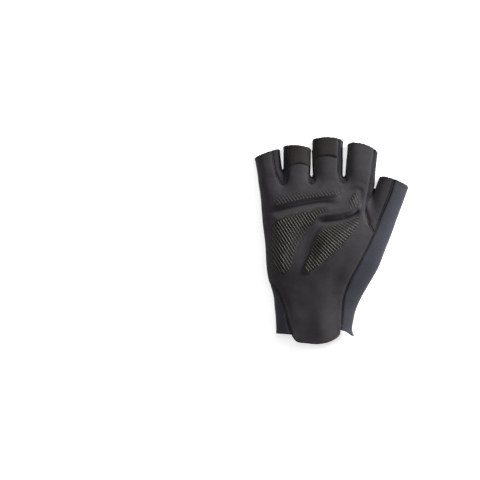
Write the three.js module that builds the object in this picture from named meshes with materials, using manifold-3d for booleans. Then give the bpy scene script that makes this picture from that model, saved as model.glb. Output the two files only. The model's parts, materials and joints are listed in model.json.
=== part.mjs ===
// A short-fingered cycling glove for the right hand, lying on its back with the palm up.
// It is a sewn shell of thin cloth panels, hollow from the wrist to the five open finger ends,
// with three raised gel pads on the palm and two pull tabs on the fingers.
// Millimetres, +Z up, fingers towards +Y, thumb towards +X, origin under the middle of the glove.

import * as THREE from 'three';
import { mergeVertices } from 'three/addons/utils/BufferGeometryUtils.js';
import Module from 'manifold-3d';

const wasm = await Module();
wasm.setup();

// Driving dimensions.
const WALL = 1.6;            // thickness of the cloth panels
const KERF = 0.32;           // gap between two panels along a seam
const PAD_THICKNESS = 2.8;   // gel pad above the palm cloth
const TAB_THICKNESS = 1.1;   // second layer of cloth at a pull tab
const SEAT = 0.3;            // gap under a pad or a tab
const SIDE_SEAM_HEIGHT = 9;  // where palm and back meet on the little finger's side
const STRIP_LOW = 3.8;       // where the strips between the fingers meet the back
const TOP_ROUND = 2.35;      // superellipse exponent of the palm side
const BACK_ROUND = 3.4;      // the back is flatter where it lies
const MIDDLE_SHARE = 0.42;   // the widest line of a section, as a share of its height
const FLAT_CUT = 0.6;        // how much of the rounded underside the ground flattens
const FAR = 140;             // beyond the glove on every side
const OVERRUN = 9;           // how far a hollow runs on past an open end
const HAIR = 0.01;           // more than a rounding error

// Cross sections of the hand, from the wrist to the web: the glove's left and right edge and its height.
const HAND_SECTIONS = [
  { y: -94, left: -48.9, right: 23.9, height: 18.4 },
  { y: -86, left: -49.1, right: 20.8, height: 18.5 },
  { y: -81, left: -49.2, right: 19.3, height: 18.5 },
  { y: -66, left: -50, right: 21.5, height: 18.5 },
  { y: -50, left: -51.8, right: 28.3, height: 19.5 },
  { y: -33, left: -56.8, right: 38, height: 22 },
  { y: -20, left: -58.1, right: 44.4, height: 23.5 },
  { y: -5, left: -59.1, right: 47.4, height: 24 },
  { y: 8, left: -60.7, right: 45.2, height: 24 },
  { y: 22, left: -62.1, right: 40, height: 23 },
  { y: 36, left: -62.9, right: 37.8, height: 21 },
  { y: 46, left: -62.9, right: 38, height: 18 },
  { y: 53, left: -62.9, right: 37.4, height: 12 },
];

// How far the webs between the fingers stand beyond the last section, across the hand.
const WEB_RISE = [[-64, 4], [-50, 7.2], [-36, 7.2], [-26, 3], [-8, 3], [2, 2.4], [22, 2.4], [30, -1], [40, -5]];

// Stalls: the middle line from inside the hand to the open end, the half widths and heights there, how far
// the middle of the cut edge stands out, and the slope of the cut. The hidden start is narrower and lower
// by tuck, so that it lies inside the hand.
const STALLS = [
  { name: 'little', start: [-52, 38], end: [-57.4, 78.8], halves: [10.4, 11.6], heights: [17, 15],
    arch: 0.7, slope: 0.21, tuck: 1.2 },
  { name: 'ring', start: [-30.6, 36], end: [-30.3, 84], halves: [11.7, 12.3], heights: [17.5, 15],
    arch: 1.8, slope: -0.09, tuck: 1.2 },
  { name: 'middle', start: [-2.6, 36], end: [-3.2, 90.6], halves: [12.9, 14.1], heights: [17.5, 15],
    arch: 2.5, slope: -0.02, tuck: 1.2 },
  { name: 'index', start: [24.9, 38], end: [28.9, 84], halves: [13.3, 13.7], heights: [17, 15],
    arch: 3, slope: -0.19, tuck: 1.2 },
  { name: 'thumb', start: [30.3, -20], end: [57.4, 53.4], halves: [14.1, 13.8], heights: [20, 15.5],
    arch: 1.5, slope: 0, tuck: 3.4 },
];

// Seam lines of the palm side, seen from above.
const SIDE_SEAM = [[58.5, 61.6], [53.1, 42.7], [45, 23], [38.7, 6.7], [26.1, -18.4], [17.1, -35.5],
  [11.2, -51.7], [9.6, -71.5], [9.2, -80.8], [9.2, -98]];
const THUMB_SEAM = [[32.3, 35.5], [31.4, 27], [33.6, 15.5], [38.7, 6.7]];
const CUFF_SEAM = [[-70, -31.5], [-61, -32.6], [-54.6, -36.4], [-49.5, -43.6], [-45, -52.6], [-41.8, -62.6],
  [-39.2, -73.4], [-35.8, -84.6]];
const TONGUE_EDGE = [[8.6, -79.5], [7.4, -85.2], [1.4, -89.7], [-5.4, -92.1], [-13, -93.1], [-22, -92.4],
  [-30, -91.4], [-32.8, -89.4], [-35.8, -84.6]];

// Seam lines of the back, as seen through the glove from above.
const BACK_HEM = [[-68, -35], [-54.9, -39.2], [-41.4, -45.6], [-15.7, -46], [4, -40.8], [20, -31.5],
  [34.5, -19.6], [41, -5]];
const BACK_THUMB_SEAM = [[38.6, 49], [36, 34.7], [33.8, 18.5], [35, 6], [41, -5]];
const THUMB_BACK_SEAM = [[53, 64], [53, 45.5], [56, 32], [54.3, 18.5], [49.5, 5.9], [41, -5]];
const WRIST_HEM = [[-49.2, -83.6], [-35.8, -84.6], [-14, -86], [9.2, -80.8], [20.4, -85.9]];

// The seam on the little finger's side runs along the glove's edge, above the start of the cuff.
const LITTLE_SIDE = { right: -50, low: -39.4 };

// Strips: the line that each follows on the palm side, down one finger, round the gap and up the next. The
// last one lies on the index finger's thumb side alone.
const STRIPS = [
  { name: 'strip_little_ring', line: [[-52.9, 95], [-52.8, 80], [-52, 72.7], [-50.4, 63.1], [-48, 55.9],
    [-44.8, 50.7], [-42.2, 50.4], [-39.8, 54], [-38.8, 61.5], [-39.2, 73.5], [-39.6, 95]] },
  { name: 'strip_ring_middle', line: [[-21.1, 100], [-21.1, 70], [-21, 58], [-20, 53], [-17.6, 50.4],
    [-15.2, 52.5], [-14.2, 58], [-14, 70], [-14.4, 100]] },
  { name: 'strip_middle_index', line: [[6.5, 105], [6.5, 75], [6.4, 62], [7.4, 55], [11.1, 51.6],
    [14.2, 53.5], [15.3, 60], [16, 72], [16.2, 105]] },
  { name: 'strip_index_side', line: [[39.2, 95], [38.5, 78], [37.2, 66.7], [35.9, 56.3], [34.4, 48.1],
    [33.3, 41.5], [32.3, 35.5], [35.5, 39.2], [38.4, 43.5], [39.4, 49], [41.6, 62], [60, 95]] },
];

// Outlines of the gel pads, seen from above.
const KNUCKLE_PAD = [[-55, 33.2], [-50.4, 39], [-36.9, 42.7], [-23.4, 45.4], [-5.4, 47.6], [9.5, 47.6],
  [13.6, 44.6], [9.2, 39.4], [-5.4, 37.6], [-17.1, 36.2], [-36.9, 32.2], [-50.4, 29.3]];
const OUTER_PAD = [[22.5, 45.6], [27, 40], [28, 32], [25, 26.6], [8, 21.7], [-11.7, 18.5], [-18.9, 13],
  [-25.2, 5], [-30.6, -5], [-34.2, -14.8], [-37, -25.4], [-42.3, -31.6], [-48.6, -28.4], [-53.1, -19.4],
  [-55.4, -6.7], [-56.2, 16.6], [-54.9, 24.6], [-45.9, 26.4], [-23.4, 31.4], [-1, 33.9], [9.4, 35.6],
  [15, 40.8]];
const THUMB_BASE_PAD = [[-25.2, -28.4], [-24.3, -21.2], [-19.8, -12.2], [-16.2, -3.2], [-11.7, 5],
  [-6.3, 11.2], [1.8, 14.8], [12.6, 17.6], [21.6, 21.2], [27, 23.4], [27.2, 17.6], [22.5, 10.4],
  [12.6, -2.7], [4.5, -11.2], [-4.5, -19.4], [-13.5, -26.6], [-20.7, -31]];

// Pull tabs: the finger, and the tab's lower edge. The tab runs from there to the open end.
const PULL_TABS = [
  { finger: 'ring', edge: [[-38.1, 65.9], [-34, 69], [-29, 70.2], [-25, 69.5], [-21.4, 67]] },
  { finger: 'middle', edge: [[-13.9, 75.4], [-6, 76.1], [0, 75.7], [6, 74.3]] },
];

const FINISHES = {
  suede: { color: '#3a3838', roughness: 0.9 },
  stretch: { color: '#44454f', roughness: 0.7 },
  mesh: { color: '#1b1a1d', roughness: 0.8 },
  strip: { color: '#202026', roughness: 0.75 },
  pad: { color: '#383634', roughness: 0.85 },
};

// Solids from triangles, and back.

const asSolid = (geometry) => {
  const bare = geometry.clone();
  bare.deleteAttribute('normal');
  bare.deleteAttribute('uv');
  const merged = mergeVertices(bare, 1e-4);
  return new wasm.Manifold(new wasm.Mesh({
    numProp: 3,
    vertProperties: merged.attributes.position.array,
    triVerts: new Uint32Array(merged.index.array),
  }));
};

const asGeometry = (solid) => {
  const mesh = solid.getMesh();
  const geometry = new THREE.BufferGeometry();
  geometry.setAttribute('position', new THREE.BufferAttribute(mesh.vertProperties, mesh.numProp));
  geometry.setIndex(new THREE.BufferAttribute(mesh.triVerts, 1));
  return geometry;
};

// A seam cut through a crossing can leave a crumb, which is dropped.
const largestBody = (solid) => solid.decompose().reduce(
  (best, body) => (body.volume() > best.volume() ? body : best),
);

const union = (...solids) => solids.reduce((all, solid) => all.add(solid));

// A point on a superellipse with its underside cut flat: u across and z up, for an angle round it.
const sectionPoint = (angle, half, low, high) => {
  const cos = Math.cos(angle);
  const sin = Math.sin(angle);
  const power = 2 / (sin >= 0 ? TOP_ROUND : BACK_ROUND);
  const middle = low + MIDDLE_SHARE * (high - low);
  const reach = sin >= 0 ? high - middle : middle - low + FLAT_CUT;
  return {
    u: half * Math.sign(cos) * Math.abs(cos) ** power,
    z: Math.max(low, middle + reach * Math.sign(sin) * Math.abs(sin) ** power),
  };
};

// Joins rings of equally many points into one closed body, each end closed by a fan.
const loft = (rings) => {
  const sides = rings[0].length;
  const points = rings.flat();
  const faces = [];
  for (let k = 0; k + 1 < rings.length; k += 1) {
    for (let i = 0; i < sides; i += 1) {
      const a = k * sides + i;
      const b = k * sides + ((i + 1) % sides);
      faces.push(a, a + sides, b, b, a + sides, b + sides);
    }
  }
  const closeEnd = (first, outwards) => {
    const hub = new THREE.Vector3();
    for (let i = 0; i < sides; i += 1) hub.addScaledVector(points[first + i], 1 / sides);
    points.push(hub);
    for (let i = 0; i < sides; i += 1) {
      const a = first + i;
      const b = first + ((i + 1) % sides);
      faces.push(points.length - 1, outwards ? b : a, outwards ? a : b);
    }
  };
  closeEnd(0, false);
  closeEnd((rings.length - 1) * sides, true);
  const geometry = new THREE.BufferGeometry().setFromPoints(points);
  geometry.setIndex(faces);
  return asSolid(geometry);
};

// The hand's form, swollen by grow, or shrunk by it where it is negative.
const HAND_SIDES = 30;
const webRise = (x) => {
  const k = Math.max(1, WEB_RISE.findIndex(([at]) => at > x));
  const [[x0, rise0], [x1, rise1]] = WEB_RISE.slice(k - 1, k + 1);
  return THREE.MathUtils.mapLinear(x, x0, x1, rise0, rise1);
};
const handForm = (grow, overrun = 0) => loft(HAND_SECTIONS.map(({ y, left, right, height }, row) => {
  const ring = [];
  for (let i = 0; i < HAND_SIDES; i += 1) {
    const angle = (2 * Math.PI * i) / HAND_SIDES;
    const { u, z } = sectionPoint(angle, (right - left) / 2 + grow, -grow, height + grow);
    const x = (left + right) / 2 + u;
    const start = row === 0 ? overrun : 0;
    const web = row === HAND_SECTIONS.length - 1 ? webRise(x) + grow : 0;
    ring.push(new THREE.Vector3(x, y - start + web, z));
  }
  return ring;
}));

// A stall's form along its middle line. With overrun it runs on past the open end.
const STALL_SIDES = 18;
const STALL_STATIONS = [0, 0.3, 0.65, 1];
const stallForm = ({ start, end, halves, heights, arch, slope, tuck }, grow, overrun = 0) => {
  const [x0, y0] = start;
  const along = new THREE.Vector2(end[0] - x0, end[1] - y0);
  const length = along.length();
  along.normalize();
  const across = new THREE.Vector2(along.y, -along.x);
  return loft(STALL_STATIONS.map((t) => {
    const drawnIn = t === 0 ? tuck : 0;
    const half = THREE.MathUtils.lerp(...halves, t) - drawnIn + grow;
    const height = THREE.MathUtils.lerp(...heights, t) - 2 * drawnIn + grow;
    const reach = t * length + (t === 1 ? overrun : 0);
    const ring = [];
    for (let i = 0; i < STALL_SIDES; i += 1) {
      const { u, z } = sectionPoint((2 * Math.PI * i) / STALL_SIDES, half, -grow, height);
      const cut = t === 1 ? arch * (1 - (u / half) ** 2) + slope * u : 0;
      ring.push(new THREE.Vector3(
        x0 + along.x * (reach + cut) + across.x * u,
        y0 + along.y * (reach + cut) + across.y * u,
        z,
      ));
    }
    return ring;
  }));
};

// Flat outlines and what stands on them.

const curveThrough = (table, steps = 4, closed = false) => {
  const knots = table.map(([x, y]) => new THREE.Vector3(x, y, 0));
  const curve = new THREE.CatmullRomCurve3(knots, closed, 'centripetal');
  const points = curve.getPoints(steps * (closed ? table.length : table.length - 1));
  if (closed) points.pop();
  return points.map(({ x, y }) => [x, y]);
};

const prism = (outline, low, high) => {
  const shape = new THREE.Shape(outline.map(([x, y]) => new THREE.Vector2(x, y)));
  const body = new THREE.ExtrudeGeometry(shape, { depth: high - low, bevelEnabled: false });
  return asSolid(body.translate(0, 0, low));
};

// A thin upright wall along a seam, which parts the panels on its two sides.
const seamWall = (line, low, high) => {
  const left = [];
  const right = [];
  line.forEach(([x, y], i) => {
    const [px, py] = line[Math.max(i - 1, 0)];
    const [nx, ny] = line[Math.min(i + 1, line.length - 1)];
    const size = Math.hypot(nx - px, ny - py);
    const sx = (-(ny - py) / size) * (KERF / 2);
    const sy = ((nx - px) / size) * (KERF / 2);
    left.push([x + sx, y + sy]);
    right.push([x - sx, y - sy]);
  });
  return prism([...left, ...right.reverse()], low, high);
};

// The shell: everything outside less everything inside.

const outside = union(handForm(0), ...STALLS.map((stall) => stallForm(stall, 0)));
const inside = union(handForm(-WALL, OVERRUN), ...STALLS.map((stall) => stallForm(stall, -WALL, OVERRUN)));
const shell = outside.subtract(inside);

// Its seams. A strip has no seam inside it, so the other seams stop at the strips.

const sideSeam = curveThrough(SIDE_SEAM);
const thumbSeam = curveThrough(THUMB_SEAM);
const cuffSeam = curveThrough(CUFF_SEAM);
const tongueEdge = curveThrough(TONGUE_EDGE);
const backHem = curveThrough(BACK_HEM);
const backThumbSeam = curveThrough(BACK_THUMB_SEAM);
const thumbBackSeam = curveThrough(THUMB_BACK_SEAM);
const wristHem = curveThrough(WRIST_HEM);
const stripLines = STRIPS.map(({ line }) => curveThrough(line, 3));

const littleSide = [[-FAR, LITTLE_SIDE.low], [LITTLE_SIDE.right, LITTLE_SIDE.low], [LITTLE_SIDE.right, FAR],
  [-FAR, FAR]];
const panelSeams = union(
  seamWall(sideSeam, SIDE_SEAM_HEIGHT - 1, FAR),
  seamWall(thumbSeam, SIDE_SEAM_HEIGHT, FAR),
  seamWall(cuffSeam, SIDE_SEAM_HEIGHT, FAR),
  seamWall(backHem, -FAR, SIDE_SEAM_HEIGHT),
  seamWall(backThumbSeam, -FAR, SIDE_SEAM_HEIGHT),
  seamWall(thumbBackSeam, -FAR, SIDE_SEAM_HEIGHT),
  prism(littleSide, SIDE_SEAM_HEIGHT - KERF / 2, SIDE_SEAM_HEIGHT + KERF / 2),
);
const stripBlocks = stripLines.map((line) => prism(line, STRIP_LOW, FAR));
const stripSeams = stripLines.map((line) => union(
  seamWall(line, STRIP_LOW - KERF / 2, FAR),
  prism(line, STRIP_LOW - KERF / 2, STRIP_LOW + KERF / 2),
));
const allStrips = union(...stripBlocks);
const cutShell = shell.subtract(panelSeams.subtract(allStrips)).subtract(union(...stripSeams));

// Outlines of the panels: they follow the seams and close outside the glove.

const GAP_TOP = [60, FAR];  // between the index finger and the thumb
const GAP_END = [41.6, 62];
const [hemStart, hemAtCuff, , hemAtSide, hemEnd] = WRIST_HEM;
const thumbRoot = THUMB_SEAM.at(-1);
const sideUpper = sideSeam.filter(([, y]) => y > thumbRoot[1] - HAIR);
const sideLower = sideSeam.filter(([, y]) => y < thumbRoot[1] - HAIR);
const sideToTongue = sideLower.filter(([, y]) => y > TONGUE_EDGE[0][1]);
const sideToHem = sideLower.filter(([, y]) => y > hemAtSide[1] + HAIR);
const hemRight = wristHem.filter(([x]) => x > hemAtSide[0] - HAIR);
const hemLeft = wristHem.filter(([x]) => x < hemAtCuff[0] + HAIR);
const backHemInwards = backHem.slice(0, -1).reverse();
const backThumbUp = backThumbSeam.slice(0, -1).reverse();

const palmOutline = [[-FAR, FAR], GAP_TOP, GAP_END, ...thumbSeam, ...sideToTongue, ...tongueEdge,
  ...cuffSeam.slice(0, -1).reverse()];
const thumbPalmOutline = [GAP_END, ...sideUpper, ...thumbSeam.slice(0, -1).reverse()];
const sidePalmOutline = [...sideUpper, ...sideToHem, ...hemRight, [FAR, hemEnd[1]], [FAR, SIDE_SEAM[0][1]]];
const cuffPalmOutline = [[-FAR, CUFF_SEAM[0][1]], ...cuffSeam, ...hemLeft.slice(0, -1).reverse(),
  [-FAR, hemStart[1]]];
const backOutline = [[-FAR, FAR], GAP_TOP, GAP_END, ...backThumbSeam, ...backHemInwards];
const thumbBackOutline = [GAP_END, ...thumbBackSeam, ...backThumbUp];
const cuffBackOutline = [[FAR, THUMB_BACK_SEAM[0][1]], ...thumbBackSeam, ...backHemInwards,
  [-FAR, BACK_HEM[0][1]], [-FAR, hemStart[1]], ...wristHem, [FAR, hemEnd[1]]];

const upper = (outline) => cutShell.intersect(prism(outline, SIDE_SEAM_HEIGHT, FAR));
const lower = (outline) => cutShell.intersect(prism(outline, -FAR, SIDE_SEAM_HEIGHT));

// A layer of cloth or gel that lies on the glove, between two swollen forms.
const layerOn = (outline, thickness, forms) => {
  const skin = (grow) => union(...forms.map((form) => form(grow)));
  return prism(outline, SIDE_SEAM_HEIGHT + 1, FAR).intersect(skin(SEAT + thickness)).subtract(skin(SEAT));
};
const palmForms = [(grow) => handForm(grow), ...STALLS.map((stall) => (grow) => stallForm(stall, grow))];
const padOn = (outline, steps) => layerOn(curveThrough(outline, steps, true), PAD_THICKNESS, palmForms);

const pullTab = ({ finger, edge }) => {
  const stall = STALLS.find(({ name }) => name === finger);
  const outline = [...curveThrough(edge), [edge.at(-1)[0], FAR], [edge[0][0], FAR]];
  const toTheEnd = stallForm(stall, FAR / 4);
  return layerOn(outline, TAB_THICKNESS, [(grow) => stallForm(stall, grow)]).intersect(toTheEnd);
};

const glove = new THREE.Group();
const addPiece = (name, finish, solid) => {
  const { color, roughness } = FINISHES[finish];
  const mesh = new THREE.Mesh(
    asGeometry(largestBody(solid)),
    new THREE.MeshStandardMaterial({ color, roughness, metalness: 0 }),
  );
  mesh.name = name;
  glove.add(mesh);
};

addPiece('palm_panel', 'suede', upper(palmOutline).subtract(allStrips));
addPiece('back_panel', 'mesh', lower(backOutline).subtract(allStrips));
addPiece('thumb_panel', 'suede', union(
  upper(thumbPalmOutline),
  lower(thumbBackOutline),
).subtract(allStrips));
addPiece('side_and_cuff', 'stretch', union(
  upper(sidePalmOutline),
  upper(cuffPalmOutline),
  lower(cuffBackOutline),
));
STRIPS.forEach(({ name }, i) => addPiece(name, 'strip', cutShell.intersect(stripBlocks[i])));
addPiece('knuckle_pad', 'pad', padOn(KNUCKLE_PAD, 3));
addPiece('outer_pad', 'pad', padOn(OUTER_PAD, 2));
addPiece('thumb_base_pad', 'pad', padOn(THUMB_BASE_PAD, 2));
PULL_TABS.forEach((tab) => addPiece(`pull_tab_${tab.finger}`, 'suede', pullTab(tab)));

export default glove;
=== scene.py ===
"""A short-fingered cycling glove for the right hand, lying on its back with the palm up.

The cloth is one smooth skin, scored along the seam lines and parted into panels. Pads and pull tabs are
layers raised from that skin. The tables are in millimetres, +Z up, fingers towards +Y, thumb towards +X.
"""

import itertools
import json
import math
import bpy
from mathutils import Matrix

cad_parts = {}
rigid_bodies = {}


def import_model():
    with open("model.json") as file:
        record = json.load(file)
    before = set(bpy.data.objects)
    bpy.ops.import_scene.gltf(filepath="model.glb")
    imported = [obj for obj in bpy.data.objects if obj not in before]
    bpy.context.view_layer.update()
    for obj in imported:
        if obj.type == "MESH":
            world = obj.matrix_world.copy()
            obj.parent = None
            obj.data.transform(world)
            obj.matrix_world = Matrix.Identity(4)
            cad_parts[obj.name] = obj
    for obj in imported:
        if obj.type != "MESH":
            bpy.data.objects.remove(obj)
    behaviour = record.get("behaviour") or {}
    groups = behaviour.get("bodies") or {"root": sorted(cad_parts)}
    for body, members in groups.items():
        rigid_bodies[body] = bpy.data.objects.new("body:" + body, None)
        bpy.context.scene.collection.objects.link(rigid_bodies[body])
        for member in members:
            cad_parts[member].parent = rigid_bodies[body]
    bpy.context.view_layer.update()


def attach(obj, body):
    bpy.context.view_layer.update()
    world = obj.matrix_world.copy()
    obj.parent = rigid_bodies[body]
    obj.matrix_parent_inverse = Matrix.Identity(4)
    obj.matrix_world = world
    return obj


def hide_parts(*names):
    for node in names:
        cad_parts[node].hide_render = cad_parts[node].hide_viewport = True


bl_info = {
    "name": "Cycling Glove",
    "version": (1, 0, 0),
    "blender": (4, 5, 0),
    "location": "View3D > Sidebar > Glove",
    "description": "Builds the cloth, pads, ribs and stitches of a cycling glove on its CAD frame",
    "category": "Add Mesh",
}

from functools import lru_cache, partial

import bpy
import numpy as np
from bpy.props import FloatProperty, FloatVectorProperty, PointerProperty
from mathutils import Vector, noise
from mathutils.bvhtree import BVHTree
from mathutils.kdtree import KDTree

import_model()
MM = 0.001
BODY = "root"

# The form of the glove

SIDE_SEAM_HEIGHT = 9.0  # where palm and back meet on the little finger's side
STRIP_LOW = 3.8  # where the strips between the fingers meet the back
TOP_ROUND = 2.35  # superellipse exponent of the palm side
BACK_ROUND = 3.4  # the back is flatter where it lies
MIDDLE_SHARE = 0.42  # the widest line of a section, as a share of its height
FLAT_CUT = 0.6  # how much of the rounded underside the floor flattens
FLOOR_BLEND = 1.6  # the turn from the flat underside into the sides
WEB_BLEND = 5.0  # the turn over the webs between the fingers
STALL_START_BLEND = 6.0
LYING = 0.03  # the cloth stays this far above the floor
CORNER_DROP = 1.0  # how far the corners of a cut end are rounded down
CUT_WAVER = 0.16  # how far a cut edge wavers
PAST_END = 6.0  # how far a stall's form runs on past its cut edge
FORM_LOW = (-76.0, -100.0, -3.0)
FORM_HIGH = (78.0, 101.0, 30.0)

# How the cloth lies on that form.
RELIEF_HEIGHTS = (7.0, 14.0)  # the palm's relief fades in between these heights
WAVE_LENGTHS = (13.0, 42.0)
WAVE_HEIGHT = 0.13
PUFF_PLACE, PUFF_WIDTH, PUFF_HEIGHT = 2.6, 1.6, 0.1  # the swelling beside a seam
HEM_PLACE, HEM_WIDTH, HEM_HEIGHT = 1.0, 1.0, 0.22  # the turned edge of an open end
HEM_UNEVEN, HEM_UNEVEN_REACH = 0.12, 5.0
PAINTED_SEAM_SHADE = (0.45, 1.3)  # the painted shade along a seam is full to the first distance and ends at the second
SEAM_BAND = 0.8  # rows of points run this far beside each seam, to keep its groove crisp
SEAM_REACH = 4.0  # a seam line cuts only the cloth that lies this near to it
TURN = 1.5  # how far past the side seam's height the seams of the palm and the back are cut

# Layers and threads on the cloth.
CLOTH_RIM = 0.3  # the rounding of the panels' rims
TAB_RIM = 0.12
SUNK = 0.12  # a pad's edge lies this deep in the palm
TAB_WALL = 0.55  # the thickness of a pull tab's own cloth, as a share of its height
SEAM_THREAD_WIDTH, SEAM_THREAD_HEIGHT = 0.7, 0.24
SEAM_THREAD_SUNK = 0.04
STITCH_BESIDE_SEAM = 1.5
STITCH_BESIDE_EDGE = 2.6
STITCH_LIFTS = (-0.12, 0.16, 0.16, -0.12)  # how high a stitch stands at its points; its ends dive in
STITCH_PARTS = 5  # the points from the start of one stitch to the next
STITCH_FLATNESS = 0.42  # half the height of a stitch's thread, as a share of its width

# Sections of the hand from the wrist to the web: the left and right edge, and the height.
HAND_SECTIONS = (
    {"y": -104, "left": -48.6, "right": 27.0, "height": 18.3},
    {"y": -94, "left": -48.9, "right": 23.9, "height": 18.4},
    {"y": -86, "left": -49.1, "right": 20.8, "height": 18.5},
    {"y": -81, "left": -49.2, "right": 19.3, "height": 18.5},
    {"y": -72, "left": -49.6, "right": 20.4, "height": 18.5},
    {"y": -64, "left": -50.1, "right": 22.1, "height": 18.5},
    {"y": -50, "left": -51.8, "right": 28.3, "height": 19.5},
    {"y": -43, "left": -53.5, "right": 32.1, "height": 20.5},
    {"y": -33, "left": -56.8, "right": 38.0, "height": 22.0},
    {"y": -20, "left": -58.1, "right": 44.4, "height": 23.5},
    {"y": -5, "left": -59.1, "right": 47.4, "height": 24.0},
    {"y": 8, "left": -60.7, "right": 45.2, "height": 24.0},
    {"y": 22, "left": -62.1, "right": 40.0, "height": 23.0},
    {"y": 36, "left": -62.9, "right": 37.8, "height": 21.0},
    {"y": 46, "left": -62.9, "right": 38.0, "height": 18.0},
    {"y": 54, "left": -62.9, "right": 37.4, "height": 15.2},
    {"y": 66, "left": -63.4, "right": 37.0, "height": 13.0},
)

# How far up the webs between the fingers stand, across the hand.
WEB_LINE = (
    {"x": -70, "y": 60.5},
    {"x": -50, "y": 61.4},
    {"x": -38, "y": 61.4},
    {"x": -24, "y": 56.6},
    {"x": -10, "y": 56.4},
    {"x": 4, "y": 56.0},
    {"x": 20, "y": 55.6},
    {"x": 32, "y": 49.5},
    {"x": 42, "y": 46.0},
)

# Stalls: the middle line from inside the hand to the open end, the half widths and heights there, how far
# the middle of the cut edge stands out, the slope of the cut, how softly the stall meets the hand, and how
# much its hidden start is drawn in. One that leans is higher on its left edge and lower on its right edge.
STALLS = {
    "little": {"start": (-52.0, 38), "end": (-57.4, 78.8), "halves": (10.4, 11.6), "heights": (17.0, 15.0),
               "arch": 0.7, "slope": 0.21, "blend": 4.0, "tuck": 1.0, "lean": 0.0},
    "ring": {"start": (-30.6, 36), "end": (-30.3, 84.0), "halves": (11.7, 12.3), "heights": (17.5, 15.0),
             "arch": 1.8, "slope": -0.09, "blend": 4.0, "tuck": 1.0, "lean": 0.3},
    "middle": {"start": (-2.6, 36), "end": (-3.2, 90.6), "halves": (12.9, 14.1), "heights": (17.5, 15.0),
               "arch": 2.5, "slope": -0.02, "blend": 4.0, "tuck": 1.0, "lean": 0.5},
    "index": {"start": (24.9, 38), "end": (28.9, 84.0), "halves": (13.3, 13.7), "heights": (17.0, 15.0),
              "arch": 3.0, "slope": -0.19, "blend": 4.0, "tuck": 1.0, "lean": 2.6},
    "thumb": {"start": (30.3, -20), "end": (57.4, 53.4), "halves": (14.1, 13.8), "heights": (20.0, 15.5),
              "arch": 1.5, "slope": 0.0, "blend": 4.5, "tuck": 3.4, "lean": 1.2},
}

# Swellings of the palm under the pads, and the hollows between and below them.
SWELLINGS = (
    {"name": "root of the thumb", "x": 14, "y": -4, "reach_x": 22, "reach_y": 26, "height": 1.1},
    {"name": "outer heel", "x": -44, "y": -6, "reach_x": 12, "reach_y": 24, "height": 0.7},
    {"name": "hollow of the palm", "x": -21, "y": -8, "reach_x": 9, "reach_y": 20, "height": -2.2},
    {"name": "below the outer pad", "x": -31, "y": -38, "reach_x": 12, "reach_y": 8, "height": -0.8},
    {"name": "below the thumb pad", "x": 1, "y": -36, "reach_x": 12, "reach_y": 8, "height": -0.6},
    {"name": "tongue on the thumb's side", "x": -8, "y": -76, "reach_x": 11, "reach_y": 20, "height": 2.8},
)

# Folds and channels of the palm side: lines seen from above, with the depth of each and its width. Where
# run is given, the fold is that wide on the right of the way that its line goes. Where shade is given, the
# bottom of the fold gets that much painted shade, over the width named dark, where the cloth nearly closes.
FOLDS = (
    {"name": "channel below the knuckles",
     "width": 2.2, "run": 4.0, "depth": 1.9, "shade": 0.75, "dark": 1.1,
     "line": ((-60, 24), (-50.4, 26.9), (-37, 30), (-22, 33.1), (-11.4, 34.7), (7, 35.4))},
    {"name": "channel above the thumb pad",
     "width": 2.4, "run": 4.0, "depth": 2.2, "shade": 0.9, "dark": 1.6,
     "line": ((-15, 16.6), (-10.6, 17.2), (5, 18.8), (15.6, 21), (23, 25.2), (27.5, 31.5))},
    {"name": "deep end of that channel", "width": 2.2, "depth": 0.9, "shade": 0.95, "dark": 2.0,
     "line": ((10, 20), (15.6, 21.6), (20.5, 23.8), (25.5, 28))},
    {"name": "crease beside the outer pad", "width": 1.6, "depth": 0.5,
     "line": ((-15, 16), (-21.9, 11.7), (-26, 5), (-29.4, -2), (-33, -14))},
    {"name": "crease beside the thumb pad", "width": 1.6, "depth": 0.6,
     "line": ((-6.5, 16), (-12.2, 9.5), (-16.7, 0.5), (-21, -11))},
    {"name": "crease at the thumb's root", "width": 2.3, "depth": 1.2, "shade": 0.45, "dark": 1.1,
     "line": ((30, 28.5), (32, 22.5), (35, 13.5))},
    {"name": "hollow round the index finger's ribs", "width": 2.6, "depth": 1.0,
     "line": ((4, 38.5), (12, 42.6), (18, 45.4), (25, 45.6), (27.8, 40), (28.6, 32))},
    {"name": "pull of the side seam", "width": 5.0, "depth": 0.35,
     "line": ((24, 6), (12, -14), (4, -34), (-1, -56))},
    {"name": "fold over the cuff", "width": 2.2, "depth": 0.55,
     "line": ((-52, -37), (-44.5, -47), (-39.5, -58), (-36.5, -72))},
    {"name": "bend of the wrist, left", "width": 2.6, "depth": 0.2,
     "line": ((-50, -43), (-38, -47), (-26, -47.5))},
    {"name": "bend of the wrist, right", "width": 3.0, "depth": 0.15,
     "line": ((21, -42), (10, -48), (-4, -49))},
    {"name": "index finger's bend", "width": 2.4, "depth": 0.35,
     "line": ((15, 50.5), (24, 52.5), (33, 49.5))},
    {"name": "middle finger's bend", "width": 2.2, "depth": 0.3,
     "line": ((-13, 53), (-3, 54.5), (7, 53))},
    {"name": "little finger's bend", "width": 2.2, "depth": 0.3,
     "line": ((-61, 55), (-53, 57), (-45, 56))},
)

# The part of a fold's length over which it fades in, at each end.
FOLD_FADE = 0.2

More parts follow.
